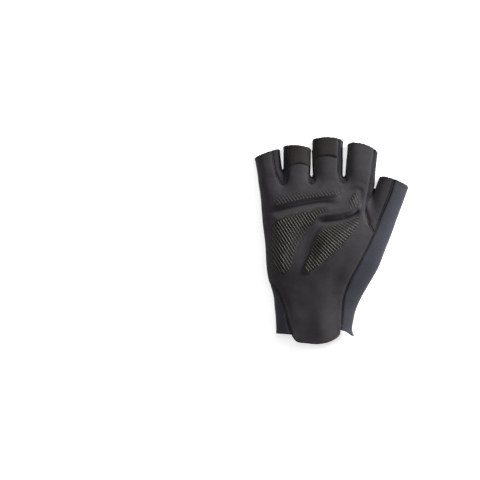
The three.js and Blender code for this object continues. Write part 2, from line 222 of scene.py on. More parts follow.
# Seam and hem lines, seen from above. What lies left of the way that a line runs counts as above 0.
LINES = {
    "side": ((58.5, 61.6), (53.1, 42.7), (45, 23), (38.7, 6.7), (26.1, -18.4), (17.1, -35.5), (11.2, -51.7),
             (9.6, -71.5), (9.2, -98)),
    "thumb": ((40, 62), (37.4, 50), (35.4, 42), (32.3, 35.5), (31.4, 27), (33.6, 15.5), (38.7, 6.7)),
    "cuff": ((-70, -31.5), (-61, -32.6), (-54.6, -36.4), (-49.5, -43.6), (-45, -52.6), (-41.8, -62.6),
             (-39.2, -73.4), (-35.8, -84.6)),
    "tongue": ((8.6, -79.5), (7.4, -85.2), (1.4, -89.7), (-5.4, -92.1), (-13, -93.1), (-22, -92.4),
               (-30.0, -91.4), (-32.8, -89.4), (-35.8, -84.6)),
    "back_hem": ((-68, -35), (-54.9, -39.2), (-41.4, -45.6), (-15.7, -46), (4, -40.8), (20, -31.5),
                 (34.5, -19.6), (41, -5)),
    "back_thumb": ((38.6, 49), (36, 34.7), (33.8, 18.5), (35, 6), (41, -5)),
    "thumb_back": ((53, 64), (53, 45.5), (56, 32), (54.3, 18.5), (49.5, 5.9), (41, -5)),
    "wrist": ((-49.2, -83.6), (-35.8, -84.6), (-14, -86.0), (9.2, -80.8), (20.4, -85.9)),
}

# The strips between the fingers: the line that each follows on the palm side, down one finger, round the
# gap and up the next finger.
STRIPS = {
    "strip_little_ring": ((-52.9, 95), (-52.8, 80), (-52, 72.7), (-50.4, 63.1), (-48, 55.9), (-44.8, 50.7),
                          (-42.2, 50.4), (-39.8, 54), (-38.8, 61.5), (-39.2, 73.5), (-39.6, 84),
                          (-39.6, 95)),
    "strip_ring_middle": ((-18.9, 100), (-18.9, 84), (-19.1, 70), (-20, 58), (-19.6, 53), (-17.6, 50.8),
                          (-15.7, 52.8), (-15.2, 58), (-16, 70), (-16.5, 84), (-16.5, 100)),
    "strip_middle_index": ((6.5, 105), (6.5, 92), (6.5, 75), (6.4, 62), (7.4, 55), (10.8, 51.8),
                           (13.2, 53.5), (13.7, 60), (14.6, 72), (15.4, 84), (15.6, 105)),
    "strip_index_side": ((39.2, 95), (38.9, 84), (38.5, 78), (37.2, 66.7), (35.9, 56.3), (34.4, 48.1),
                         (33.3, 41.5), (32.3, 35.5), (35.5, 39.2), (38.4, 43.5), (39.4, 49), (41.6, 62),
                         (60, 95)),
}
PANELS = ("palm_panel", "back_panel", "thumb_panel", "side_and_cuff", *STRIPS)

# Outlines of the gel pads, seen from above.
PADS = {
    "knuckle_pad": ((-55, 33.2), (-50.4, 39), (-36.9, 42.7), (-23.4, 45.4), (-5.4, 47.6), (9.5, 47.6),
                    (13.6, 44.6), (9.2, 39.4), (-5.4, 37.6), (-17.1, 36.2), (-36.9, 32.2), (-50.4, 29.3)),
    "outer_pad": ((22.5, 45.6), (27, 40), (28, 32), (25, 26.6), (8, 21.7), (-11.7, 18.5), (-18.9, 13),
                  (-25.2, 5), (-30.6, -5), (-34.2, -14.8), (-37, -25.4), (-42.3, -31.6), (-48.6, -28.4),
                  (-53.1, -19.4), (-55.4, -6.7), (-56.2, 16.6), (-54.9, 24.6), (-45.9, 26.4), (-23.4, 31.4),
                  (-1, 33.9), (9.4, 35.6), (15, 40.8)),
    "thumb_base_pad": ((-25.2, -28.4), (-24.3, -21.2), (-19.8, -12.2), (-16.2, -3.2), (-11.7, 5),
                       (-6.3, 11.2), (1.8, 14.8), (12.6, 17.6), (21.6, 21.2), (27, 23.4), (27.2, 17.6),
                       (22.5, 10.4), (12.6, -2.7), (4.5, -11.2), (-4.5, -19.4), (-13.5, -26.6),
                       (-20.7, -31)),
}

# Where the edge of each pad drops steeply; elsewhere it runs out softly under the suede.
STEEP_EDGES = {
    "knuckle_pad": ((-50.4, 29.3), (-36.9, 32.2), (-17.1, 36.2), (-5.4, 37.6), (2, 38.5)),
    "outer_pad": ((-18.9, 13), (-11.7, 18.5), (8, 21.7), (25, 26.6)),
    "thumb_base_pad": ((-22, -15), (-25.2, -26), (-20.7, -31), (-12, -26)),
}
PAD_GROWTH = 0.3  # the suede over a pad reaches this far past the gel

# Printed ribs: their pad, the outline that they fill, the middle line that they cross and the way that they
# run at its start, middle and end, in degrees from +X, how strongly the ground under them is printed, and
# how strongly the ribs' own colour shows over the suede's at the line's start and end.
RIBS = (
    {"name": "outer_ribs", "pad": "outer_pad", "ground": 0.6, "strength": (0.85, 0.22),
     "angles": (-59, -57, -55),
     "axis": ((-53, -30), (-2, 36)),
     "outline": ((-53.6, 13.1), (-45.9, 18.9), (-38.7, 22.1), (-31.5, 23.4), (-25.2, 26.1), (-19.8, 24.8),
                 (-17.1, 26.6), (-13.5, 29.7), (-3.6, 30.2), (-2.7, 25.7), (-11.7, 23.9), (-16.2, 13.1),
                 (-20.7, 10.4), (-24.3, 3.2), (-27.9, -3.2), (-31.5, -9.5), (-34.2, -14), (-35.1, -21.2),
                 (-37.8, -27.5), (-43.2, -30.5), (-48.6, -26.5), (-52.2, -18.4), (-54, -8.6))},
    {"name": "thumb_base_ribs", "pad": "thumb_base_pad", "ground": 0.6, "strength": (1.0, 0.75),
     "angles": (-56, -42, -22),
     "axis": ((-25, -25), (27, 21)),
     "outline": ((-24.3, -21.2), (-20.7, -14), (-18, -7.7), (-15.3, -2.3), (-12.6, 3.2), (-9.9, 8.5),
                 (-4.5, 11.3), (1.8, 14.6), (12.6, 16.7), (18.9, 19.8), (25.2, 22.3), (26.1, 17.8),
                 (23.4, 12.4), (18.9, 6.2), (13.2, -0.5), (9.7, -4.6), (4.3, -10.0), (-1.1, -15.1),
                 (-6.6, -20.2), (-12.7, -24.4), (-19.7, -28.0), (-23.3, -27.0))},
    {"name": "knuckle_ribs", "pad": "knuckle_pad", "ground": 0.35, "strength": (0.26, 0.18),
     "angles": (-52, -50, -48),
     "axis": ((-52, 33), (12, 45)),
     "outline": ((-50.4, 36.8), (-43.2, 40.4), (-27.9, 43.1), (-11.7, 45.2), (-0.9, 46.3), (9, 45.6),
                 (9.4, 41.4), (-9.9, 39.2), (-25.2, 36.9), (-36.9, 33.8), (-49.5, 32))},
    {"name": "index_base_ribs", "pad": "outer_pad", "ground": 0.4, "strength": (0.2, 0.22),
     "angles": (-70, -66, -64),
     "axis": ((14, 30), (28, 41)),
     "outline": ((16.2, 36.5), (20.7, 43.6), (23.4, 43.8), (26.1, 39.2), (25.7, 32.9), (22.5, 28.0),
                 (16.2, 25.8))},
)

RIB_FADE = 0.45  # a rib's colour strength falls by this share from its left end to its right one

# Pull tabs: the lower edge of each, from which it runs to the open end.
PULL_TABS = {
    "ring": ((-38.1, 66.2), (-34, 68.4), (-30, 69.4), (-25, 69), (-19.4, 67.2)),
    "middle": ((-16, 71.6), (-13.4, 74), (-9.9, 75.6), (-0.9, 76.4), (5.9, 74.2)),
}


def linear(colour):
    """Turns an sRGB hex value to the linear colour that Blender works with."""
    parts = (int(colour[i:i + 2], 16) / 255 for i in (1, 3, 5))
    return tuple(v / 12.92 if v <= 0.04045 else ((v + 0.055) / 1.055) ** 2.4 for v in parts)


class GloveSizes(bpy.types.PropertyGroup):
    """Sizes of the cloth, the pads and what is printed and sewn on them."""

    cell: FloatProperty(name="Mesh size", description="Spacing of the points of the cloth",
                        default=1.1 * MM, min=0.8 * MM, unit="LENGTH")
    wall: FloatProperty(name="Cloth", description="Thickness of the cloth panels",
                        default=1.3 * MM, unit="LENGTH")
    pad: FloatProperty(name="Gel pad", description="Height of a gel pad over the palm",
                       default=2.4 * MM, unit="LENGTH")
    tab: FloatProperty(name="Pull tab", description="Height of a pull tab over its finger",
                       default=1.1 * MM, unit="LENGTH")
    seam: FloatProperty(name="Seam groove", description="Depth of the groove along a seam",
                        default=0.5 * MM, unit="LENGTH")
    rib_width: FloatProperty(name="Rib width", description="Width of a printed silicone rib",
                             default=0.62 * MM, unit="LENGTH")
    rib_height: FloatProperty(name="Rib height", description="How far a rib stands out of its pad",
                              default=0.34 * MM, unit="LENGTH")
    rib_pitch: FloatProperty(name="Rib pitch", description="Distance from rib to rib, square to them",
                             default=2.45 * MM, unit="LENGTH")
    stitch: FloatProperty(name="Stitch", description="Length from stitch to stitch",
                          default=2.6 * MM, unit="LENGTH")
    thread: FloatProperty(name="Thread", description="Width of the sewing thread",
                          default=0.42 * MM, unit="LENGTH")


def colour_property(name, description, value):
    """A colour that shows in the sidebar, given as sRGB hex."""
    return FloatVectorProperty(name=name, description=description, default=linear(value), size=3,
                               subtype="COLOR", min=0, max=1)


class GloveColours(bpy.types.PropertyGroup):
    """Colours of the finishes."""

    suede: colour_property("Suede", "Charcoal microfibre suede of the palm and thumb", "#343234")
    tab: colour_property("Pull tabs", "Darker, slightly brown suede of the pull tabs", "#292625")
    ground: colour_property("Printed ground", "Dark ground between the ribs", "#161514")
    stretch: colour_property("Stretch knit", "Blue-grey knit of the side and the cuff", "#303038")
    mesh: colour_property("Mesh", "Black warp-knit mesh of the back", "#232125")
    strip: colour_property("Strips", "Near-black knit between the fingers", "#1d1b21")
    silicone: colour_property("Silicone", "Yellowish grey silicone of the ribs", "#69675a")
    # The thread's colour is also the colour of the painted shade along the seams and in the deepest folds.
    thread: colour_property("Thread", "Black polyester sewing thread", "#0c0c0e")
    floor: colour_property("Floor", "White studio floor", "#f4f4f4")


# Lines and outlines seen from above

def curve_through(table, steps=6, closed=False):
    """A smooth line through the points of a table."""
    knots = np.array(table, float)
    if closed:
        padded = np.vstack([knots[-1:], knots, knots[:2]])
    else:
        padded = np.vstack([2 * knots[0] - knots[1], knots, 2 * knots[-1] - knots[-2]])
    line = []
    for a, b, c, d in zip(padded, padded[1:], padded[2:], padded[3:]):
        ab, bc, cd = (np.linalg.norm(q - p) ** 0.5 for p, q in ((a, b), (b, c), (c, d)))
        leave = bc * ((b - a) / ab - (c - a) / (ab + bc) + (c - b) / bc)
        arrive = bc * ((c - b) / bc - (d - b) / (bc + cd) + (d - c) / cd)
        for t in np.arange(steps) / steps:
            line.append((2 * t**3 - 3 * t**2 + 1) * b + (t**3 - 2 * t**2 + t) * leave
                        + (3 * t**2 - 2 * t**3) * c + (t**3 - t**2) * arrive)
    if not closed:
        line.append(knots[-1])
    return np.array(line)


def from_segments(line, spots):
    """The distance of spots from each segment of a line, and how far left of it they lie."""
    a, step = line[:-1], np.diff(line, axis=0)
    offset = spots[:, None, :] - a
    share = np.clip((offset * step).sum(2) / (step**2).sum(1), 0, 1)
    away = np.linalg.norm(offset - share[:, :, None] * step, axis=2)
    left = (step[:, 0] * offset[:, :, 1] - step[:, 1] * offset[:, :, 0]) / np.linalg.norm(step, axis=1)
    return away, left


def in_chunks(work, spots, size=20000):
    """Does the work for a few spots at a time, to spare memory."""
    return np.concatenate([work(spots[i:i + size]) for i in range(0, max(len(spots), 1), size)])


@lru_cache(maxsize=None)
def seam_line(name):
    """A seam's smooth line, run on straight past both its ends."""
    line = curve_through(LINES[name])
    reach = 60
    first, last = line[0] - line[1], line[-1] - line[-2]
    return np.vstack([line[0] + reach * first / np.linalg.norm(first), line,
                      line[-1] + reach * last / np.linalg.norm(last)])


def beside(name, points):
    """How far points lie left of a seam line seen from above, below 0 on its right."""
    def work(spots):
        away, left = from_segments(seam_line(name), spots)
        nearest = np.argmin(away - 1e-4 * np.abs(left), axis=1)
        rows = np.arange(len(spots))
        return np.sign(left[rows, nearest]) * away[rows, nearest]
    return in_chunks(work, points[:, :2])


def distance_to(line, points):
    """Distance of points from a line seen from above."""
    return in_chunks(lambda spots: from_segments(line, spots)[0].min(axis=1), points[:, :2])


def depth_inside(outline, points):
    """How far points lie inside a closed outline seen from above, below 0 outside it."""
    closed = np.vstack([outline, outline[:1]])

    def work(spots):
        away = from_segments(closed, spots)[0].min(axis=1)
        x, y = spots[:, :1], spots[:, 1:]
        (x0, y0), (x1, y1) = closed[:-1].T, closed[1:].T
        passes = (y0 > y) != (y1 > y)
        rise = np.where(y1 == y0, 1e-9, y1 - y0)
        odd = (passes & (x < x0 + (y - y0) / rise * (x1 - x0))).sum(axis=1) % 2 == 1
        return np.where(odd, away, -away)
    return in_chunks(work, points[:, :2])


def smoothstep(low, high, value):
    """Rises smoothly from 0 at low to 1 at high."""
    t = np.clip((value - low) / (high - low), 0, 1)
    return t * t * (3 - 2 * t)


# The glove as a form: distances from it, below 0 inside

def smooth_min(a, b, blend):
    """The smaller of two distances, with a fillet where they meet."""
    h = np.maximum(blend - np.abs(a - b), 0) / blend
    return np.minimum(a, b) - h * h * blend / 4


def smooth_max(a, b, blend):
    """The larger of two distances, with a round edge where they meet."""
    return -smooth_min(-a, -b, blend)


def column(rows, key, value, at):
    """Follows one column of a table smoothly from row to row."""
    x = np.array([row[key] for row in rows], float)
    y = np.array([row[value] for row in rows], float)
    slope = np.gradient(y, x)
    k = np.clip(np.searchsorted(x, at) - 1, 0, len(x) - 2)
    span = x[k + 1] - x[k]
    t = np.clip((at - x[k]) / span, 0, 1)
    return ((2 * t**3 - 3 * t**2 + 1) * y[k] + (t**3 - 2 * t**2 + t) * span * slope[k]
            + (3 * t**2 - 2 * t**3) * y[k + 1] + (t**3 - t**2) * span * slope[k + 1])


def section_distance(u, z, half, high):
    """Distance from a section's outline: a superellipse that is flatter underneath."""
    middle = MIDDLE_SHARE * high
    above = z >= middle
    power = np.where(above, TOP_ROUND, BACK_ROUND)
    reach = np.where(above, high - middle, middle + FLAT_CUT)
    a, b = np.abs(u) / half, np.abs(z - middle) / reach
    ring = np.maximum((a**power + b**power) ** (1 / power), 0.05)
    slope = np.hypot(a ** (power - 1) / half, b ** (power - 1) / reach) * ring ** (1 - power)
    return (ring - 1) / np.maximum(slope, 0.3 / half)


def stall_place(name, points):
    """How far points lie along a stall and across it, its length, and its half width and height there."""
    row = STALLS[name]
    start, end = np.array(row["start"], float), np.array(row["end"], float)
    length = np.linalg.norm(end - start)
    along = (end - start) / length
    offset = points[:, :2] - start
    s = offset @ along
    u = offset @ np.array((along[1], -along[0]))
    t = np.clip(s / length, 0, 1.2)
    half, high = (first + (last - first) * t for first, last in (row["halves"], row["heights"]))
    drawn_in = row["tuck"] * (1 - smoothstep(0, 0.35, t))
    return s, u, length, half - drawn_in, high - drawn_in


def stall_distance(name, points):
    """Distance from a finger stall."""
    s, u, length, half, high = stall_place(name, points)
    leaning = STALLS[name]["lean"] * smoothstep(0.25, 0.9, s / length) * smoothstep(0, high, points[:, 2])
    section = section_distance(u, points[:, 2] + leaning * u / half, half, high)
    tube = smooth_max(section, -s, STALL_START_BLEND)
    return np.maximum(tube, s - length - PAST_END)


def past_stall_end(name, points):
    """How far points lie past a stall's cut edge, which is bowed and may slope."""
    s, u, length, half, _ = stall_place(name, points)
    row = STALLS[name]
    share = np.abs(u) / half
    uneven = CUT_WAVER * np.sin(1.9 * u + 2.2 * np.sin(0.6 * u + points[:, 2]))
    bowed = row["arch"] * (1 - share**2) - CORNER_DROP * smoothstep(0.8, 1.05, share)
    return s - length - bowed - row["slope"] * u - uneven


def form_distance(points):
    """Distance from the whole glove."""
    x, y, z = points.T
    left, right, high = (column(HAND_SECTIONS, "y", value, y) for value in ("left", "right", "height"))
    hand = section_distance(x - (left + right) / 2, z, (right - left) / 2, high)
    hand = smooth_max(hand, y - column(WEB_LINE, "x", "y", x), WEB_BLEND)
    total = hand
    for name, row in STALLS.items():
        total = np.minimum(total, smooth_min(hand, stall_distance(name, points), row["blend"]))
    return smooth_max(total, -z, FLOOR_BLEND)


def slope_of(function, points, step=0.05):
    """The slope of a function of place along X, Y and Z."""
    shifts = np.eye(3) * step
    return np.stack([function(points + s) - function(points - s) for s in shifts], axis=1) / (2 * step)


def unit(vectors):
    """Vectors of length 1."""
    return vectors / np.maximum(np.linalg.norm(vectors, axis=-1, keepdims=True), 1e-9)


def onto_form(points, rounds=1):
    """Moves points onto the glove's surface."""
    for _ in range(rounds):
        slope = slope_of(form_distance, points)
        step = form_distance(points) / np.maximum((slope**2).sum(axis=1), 0.1)
        points = points - slope * np.clip(step, -1.5, 1.5)[:, None]
    return points


# The skin: a mesh on the form, cut along lines

def grown_quads(cell):
    """A mesh of even quads round the form, found on a grid of cells of that size."""
    low, high = np.array(FORM_LOW), np.array(FORM_HIGH)
    counts = np.ceil((high - low) / cell).astype(int) + 1
    axes = [low[i] + cell * np.arange(counts[i]) for i in range(3)]
    grid = np.stack(np.meshgrid(*axes, indexing="ij"), axis=-1)
    inside = (form_distance(grid.reshape(-1, 3)) < 0).reshape(counts)
    corners = sum(inside[dx:counts[0] - 1 + dx, dy:counts[1] - 1 + dy, dz:counts[2] - 1 + dz].astype(int)
                  for dx, dy, dz in itertools.product((0, 1), repeat=3))
    mixed = (corners > 0) & (corners < 8)
    number = np.full(mixed.shape, -1)
    number[mixed] = np.arange(mixed.sum())
    points = low + cell * (np.argwhere(mixed) + 0.5)
    quads = []
    for axis in range(3):
        step = np.eye(3, dtype=int)
        first, second = step[(axis + 1) % 3], step[(axis + 2) % 3]
        near = np.take(inside, range(counts[axis] - 1), axis=axis)
        far = np.take(inside, range(1, counts[axis]), axis=axis)
        spots = np.argwhere(near != far)
        spots = spots[((spots > 0) & (spots < counts - 1)).all(axis=1)]
        leaving = near[tuple(spots.T)]
        ring = [number[tuple((spots - shift).T)] for shift in (0 * first, first, first + second, second)]
        quad = np.stack(ring, axis=1)
        quads.append(np.where(leaving[:, None], quad, quad[:, ::-1]))
    quads = np.concatenate(quads)
    return points, quads[(quads >= 0).all(axis=1)]


def relaxed(points, quads, rounds=10):
    """Evens out the mesh along the surface."""
    pairs = np.stack([quads, np.roll(quads, -1, axis=1)], axis=2).reshape(-1, 2)
    edges = np.unique(np.sort(pairs), axis=0)
    count = np.bincount(edges.ravel(), minlength=len(points))[:, None]
    for _ in range(rounds):
        total = np.zeros_like(points)
        np.add.at(total, edges[:, 0], points[edges[:, 1]])
        np.add.at(total, edges[:, 1], points[edges[:, 0]])
        points = onto_form(points + 0.6 * (total / np.maximum(count, 1) - points))
    return points


class Skin:
    """Points on the form with the faces between them, which may be cut along lines."""

    def __init__(self, points, faces, fixed=None):
        self.points = points
        self.faces = faces
        self.fixed = np.zeros(len(points), bool) if fixed is None else fixed

    def copy(self):
        """The same skin, to be cut on its own."""
        return Skin(self.points.copy(), list(self.faces), self.fixed.copy())

    def flat(self):
        """The corners of all faces in one row, and where each face starts in it."""
        sizes = np.array([len(face) for face in self.faces])
        corners = np.fromiter(itertools.chain.from_iterable(self.faces), int, sizes.sum())
        return corners, np.cumsum(sizes) - sizes

    def centres(self):
        """The middle of each face."""
        corners, starts = self.flat()
        sizes = np.diff(np.append(starts, len(corners)))
        return np.add.reduceat(self.points[corners], starts) / sizes[:, None]

    def snap(self, line, values, usable, reach):
        """Moves free points that almost lie on the line onto it."""
        near = usable & (np.abs(values) < reach) & ~self.fixed
        spots = self.points[near]
        if len(spots):
            slope = slope_of(line, spots)
            normal = unit(slope_of(form_distance, spots))
            slope -= (slope * normal).sum(axis=1)[:, None] * normal
            size = np.maximum((slope**2).sum(axis=1), 0.2)
            self.points[near] = onto_form(spots - slope * (values[near] / size)[:, None])
        values[near | (usable & (np.abs(values) < reach / 2))] = 0

    def score(self, line, where, level=0.0, reach=0.26):
        """Cuts the faces where line, a function of place, has the level and where, another one, is true."""
        usable = where(self.points)
        values = np.zeros(len(self.points))
        values[usable] = line(self.points[usable]) - level
        self.snap(line, values, usable, reach)
        corners, starts = self.flat()
        count = len(self.points)
        signs = np.where(usable[corners], np.sign(values[corners]), 0)
        lowest, highest = np.minimum.reduceat(signs, starts), np.maximum.reduceat(signs, starts)
        crossed = np.flatnonzero((lowest < 0) & (highest > 0))
        added, spots = {}, []
        for index in crossed:
            face = self.faces[index]
            for p, q in zip(face, face[1:] + face[:1]):
                key = (min(p, q), max(p, q))
                if key not in added and usable[p] and usable[q] and values[p] * values[q] < 0:
                    added[key] = count + len(spots)
                    p, q = key
                    share = values[p] / (values[p] - values[q])
                    spots.append(self.points[p] + share * (self.points[q] - self.points[p]))
        if spots:
            self.points = np.vstack([self.points, onto_form(np.array(spots))])
        values = np.append(values, np.zeros(len(spots)))
        usable = np.append(usable, np.ones(len(spots), bool))
        self.fixed = np.append(self.fixed, np.ones(len(spots), bool))
        self.fixed |= usable & (values == 0)
        kept = []
        for face in (self.faces[index] for index in crossed):
            kept.extend(self.parted(face, added, values, usable))
        whole = np.ones(len(self.faces), bool)
        whole[crossed] = False
        self.faces = [self.faces[index] for index in np.flatnonzero(whole)] + kept

    @staticmethod
    def parted(face, added, values, usable):
        """The parts of a face on the two sides of a line, or the face with the new points on its edges."""
        loop = []
        for p, q in zip(face, face[1:] + face[:1]):
            loop.append(p)
            if (min(p, q), max(p, q)) in added:
                loop.append(added[min(p, q), max(p, q)])
        on_line = [i for i, v in enumerate(loop) if usable[v] and values[v] == 0]
        for i, j in itertools.combinations(on_line, 2):
            first, second = loop[i:j + 1], loop[j:] + loop[:i + 1]
            if min(len(first), len(second)) > 2:
                sides = [{float(np.sign(values[v])) for v in part if values[v] != 0}
                         for part in (first, second)]
                if all(len(side) == 1 for side in sides) and sides[0] != sides[1]:
                    return [tuple(first), tuple(second)]
        return [tuple(loop)]

    def keep(self, chosen):
        """Drops the faces that aren't chosen."""
        self.faces = [self.faces[index] for index in np.flatnonzero(chosen)]


def edges_of(skin):
    """The edges of a skin as rows of two points, with the faces on both sides, -1 where there is none."""
    corners, starts = skin.flat()
    sizes = np.diff(np.append(starts, len(corners)))
    owner = np.repeat(np.arange(len(starts)), sizes)
    following = np.roll(corners, -1)
    following[starts + sizes - 1] = corners[starts]
    pair = np.sort(np.stack([corners, following], axis=1))
    order = np.lexsort((owner, pair[:, 1], pair[:, 0]))
    pair, owner = pair[order], owner[order]
    first = np.append(True, (pair[1:] != pair[:-1]).any(axis=1))
    place = np.flatnonzero(first)
    double = np.append(~first[1:], False)[place]
    return pair[place], owner[place], np.where(double, owner[np.minimum(place + 1, len(owner) - 1)], -1)


def chains(edges):
    """Joins edges to runs of points, each ending where runs meet or where it closes."""
    links = {}
    for a, b in edges:
        links.setdefault(int(a), []).append(int(b))
        links.setdefault(int(b), []).append(int(a))
    used, runs = set(), []
    ends = [v for v, near in links.items() if len(near) != 2]
    for start in itertools.chain(ends, links):
        for following in links[start]:
            if (start, following) in used:
                continue
            run = [start]
            last, here = start, following
            while True:
                used.update({(last, here), (here, last)})
                run.append(here)
                if len(links[here]) != 2 or here == start:
                    break
                onward = links[here][0] if links[here][1] == last else links[here][1]
                if (here, onward) in used:
                    break
                last, here = here, onward
            runs.append(run)
    return runs


def strip_depth(name, points):
    """How far points lie inside a strip's line seen from above."""
    return depth_inside(curve_through(STRIPS[name], 4), points)


def upper(points):
    """Whether points belong to the palm side."""
    return points[:, 2] > SIDE_SEAM_HEIGHT


def panel_of(points):
    """The number in PANELS of the panel that each point of the surface belongs to."""
    palm, back, thumb, side = range(4)
    above = np.full(len(points), palm)
    above[beside("cuff", points) < 0] = side
    above[beside("thumb", points) > 0] = thumb
    above[beside("side", points) > 0] = side
    below = np.full(len(points), back)
    below[beside("back_thumb", points) > 0] = thumb
    below[beside("thumb_back", points) > 0] = side
    below[beside("back_hem", points) < 0] = side
    found = np.where(upper(points), above, below)
    for name in STRIPS:
        found[(points[:, 2] > STRIP_LOW) & (strip_depth(name, points) > 0)] = PANELS.index(name)
    return found


def cut_off(points):
    """Whether points lie past an open edge."""
    past = np.zeros(len(points), bool)
    for name in STALLS:
        past |= (past_stall_end(name, points) > 0) & (stall_distance(name, points) < 3)
    tongue = upper(points) & (beside("cuff", points) > 0) & (beside("side", points) < 0)
    low = points[:, 1] < -70
    past |= low & tongue & (beside("tongue", points) > 0)
    past |= low & ~tongue & (beside("wrist", points) < 0)
    return past


def palm_side(points):
    """Whether points lie on the palm side, or on its turn to the back."""
    return points[:, 2] > SIDE_SEAM_HEIGHT - TURN


def back_side(points):
    """Whether points lie on the back, or on its turn to the palm side."""
    return points[:, 2] < SIDE_SEAM_HEIGHT + TURN


def wrist_round(points):
    """Whether points lie round the wrist, outside the tongue."""
    tongue = upper(points) & (beside("cuff", points) > 1) & (beside("side", points) < -1)
    return ~tongue & (points[:, 1] < -70)


def tongue_round(points):
    """Whether points lie round the tongue's end."""
    between = (beside("cuff", points) > -1.5) & (beside("side", points) < 1.5)
    return palm_side(points) & between & (points[:, 1] < -76)


def palm_to_side(points):
    """Whether points lie on the palm side as far as the side seam."""
    return palm_side(points) & (beside("side", points) < 1.5)


def outer_palm(points):
    """Whether points lie on the little finger's half of the palm side."""
    return palm_side(points) & (points[:, 0] < -30)


def back_to_thumb(points):
    """Whether points lie on the back as far as the thumb."""
    return back_side(points) & (points[:, 0] < 43)


def back_of_thumb(points):
    """Whether points lie on the back, no lower than the thumb's root."""
    return back_side(points) & (points[:, 1] > -7)


def little_side(points):
    """Whether points lie at the little finger's side, above the cuff."""
    return (points[:, 0] < -46) & (points[:, 1] > -41)


# The lines that the skin is cut along, and where each one cuts.
CUTS = {
    "wrist": wrist_round,
    "tongue": tongue_round,
    "side": palm_side,
    "thumb": palm_to_side,
    "cuff": outer_palm,
    "back_hem": back_to_thumb,
    "back_thumb": back_of_thumb,
    "thumb_back": back_of_thumb,
}


def near_cut(name, points):
    """Whether points lie where a line of CUTS cuts."""
    return (np.abs(beside(name, points)) < SEAM_REACH) & CUTS[name](points)


def near_stall_end(name, points):
    """Whether points lie near the open end of a stall."""
    return (stall_distance(name, points) < 1.5) & (np.abs(past_stall_end(name, points)) < 4)


def near_strip(name, points):
    """Whether points lie in a strip or a little outside it."""
    return (points[:, 1] > 30) & (strip_depth(name, points) > -3)


def near_strip_above(name, points):
    """Whether points lie near a strip and above the back."""
    return near_strip(name, points) & (points[:, 2] > STRIP_LOW - 1.5)


def height_of(points):
    """How high points lie."""
    return points[:, 2]


@lru_cache(maxsize=None)
def shell_skin(cell):
    """The glove's whole surface, scored along its seams and cut at its open edges."""
    points, quads = grown_quads(cell)
    points = relaxed(onto_form(points, 3), quads)
    skin = Skin(points, [tuple(map(int, quad)) for quad in quads])
    for name in STALLS:
        for level in (0, -0.9, -2.0):
            skin.score(partial(past_stall_end, name), partial(near_stall_end, name), level)
    for name in CUTS:
        skin.score(partial(beside, name), partial(near_cut, name))
    for name in STRIPS:
        for level in (0, SEAM_BAND, -SEAM_BAND):
            skin.score(partial(strip_depth, name), partial(near_strip_above, name), level, reach=0.22)
        for level in (STRIP_LOW, STRIP_LOW - SEAM_BAND, STRIP_LOW + SEAM_BAND):
            skin.score(height_of, partial(near_strip, name), level, reach=0.22)
    skin.score(height_of, little_side, SIDE_SEAM_HEIGHT)
    for name in list(CUTS)[1:]:
        for level in (-SEAM_BAND, SEAM_BAND):
            skin.score(partial(beside, name), partial(near_cut, name), level, reach=0.2)
    for level in (SIDE_SEAM_HEIGHT - SEAM_BAND, SIDE_SEAM_HEIGHT + SEAM_BAND):
        skin.score(height_of, little_side, level, reach=0.2)
    skin.keep(~cut_off(skin.centres()))
    return skin


@lru_cache(maxsize=None)
def seams(cell):
    """The panel of each face, the sewn edges, the open edges, and the two panels at each sewn edge."""
    skin = shell_skin(cell)
    panels = panel_of(skin.centres())
    edges, left, right = edges_of(skin)
    sewn = (right >= 0) & (panels[left] != panels[right])
    sides = [(panels[a], panels[b]) for a, b in zip(left[sewn], right[sewn])]
    return panels, edges[sewn], edges[right < 0], sides


def tree_along(points, edges, spacing=0.3):
    """A search tree of places along edges."""
    spots = []
    for a, b in points[edges]:
        count = max(1, int(np.linalg.norm(b - a) / spacing))
        spots.extend(a + (b - a) * (k + 0.5) / count for k in range(count))
    tree = KDTree(len(spots))
    for index, spot in enumerate(spots):
        tree.insert(spot, index)
    tree.balance()
    return tree


@lru_cache(maxsize=None)
def seam_trees(cell):
    """Search trees of the seams and of the open edges."""
    skin = shell_skin(cell)
    _, sewn, free, _ = seams(cell)
    return tree_along(skin.points, sewn), tree_along(skin.points, free)


def distances(tree, points):
    """The distance of each point from the nearest place in a search tree."""
    return np.array([tree.find(point)[2] for point in points])


def ripple(points, seed=11, waves=14):
    """Slight waves of the cloth, the same each time, between about -1 and 1."""
    draw = np.random.default_rng(seed)
    total = np.zeros(len(points))
    for _ in range(waves):
        way = unit(draw.normal(size=3))
        length = draw.uniform(*WAVE_LENGTHS)
        total += np.sin(2 * math.pi * (points @ way) / length + draw.uniform(0, 2 * math.pi))
    return total / math.sqrt(waves)


def dimples(points, size, seed):
    """Fine uneven dimples of the cloth, between about -1 and 1."""
    return np.array([noise.noise(Vector(p) / size + Vector((seed, 0, 0))) for p in points])


def fold(row, points):
    """How far points lie in a fold of the cloth, from 0 to 1. A fold fades out towards both of its ends."""
    line = curve_through(row["line"])
    whole = line[-1] - line[0]
    share = np.clip((points[:, :2] - line[0]) @ whole / (whole @ whole), 0, 1)
    fade = smoothstep(0, FOLD_FADE, share) * smoothstep(0, FOLD_FADE, 1 - share)

    def work(spots):
        away, left = from_segments(line, spots)
        nearest = np.argmin(away, axis=1)
        rows = np.arange(len(spots))
        width = np.where(left[rows, nearest] > 0, row["width"], row.get("run", row["width"]))
        return np.exp(-(away[rows, nearest] / width) ** 2)
    return fade * in_chunks(work, points[:, :2])


def relief(points):
    """How far the palm's cloth stands out of the plain form: swellings, hollows, folds and channels."""
    x, y, z = points.T
    total = np.zeros(len(points))
    for row in SWELLINGS:
        total += row["height"] * np.exp(-((x - row["x"]) / row["reach_x"]) ** 2
                                        - ((y - row["y"]) / row["reach_y"]) ** 2)
    for row in FOLDS:
        total -= row["depth"] * fold(row, points)
    return total * smoothstep(*RELIEF_HEIGHTS, z)


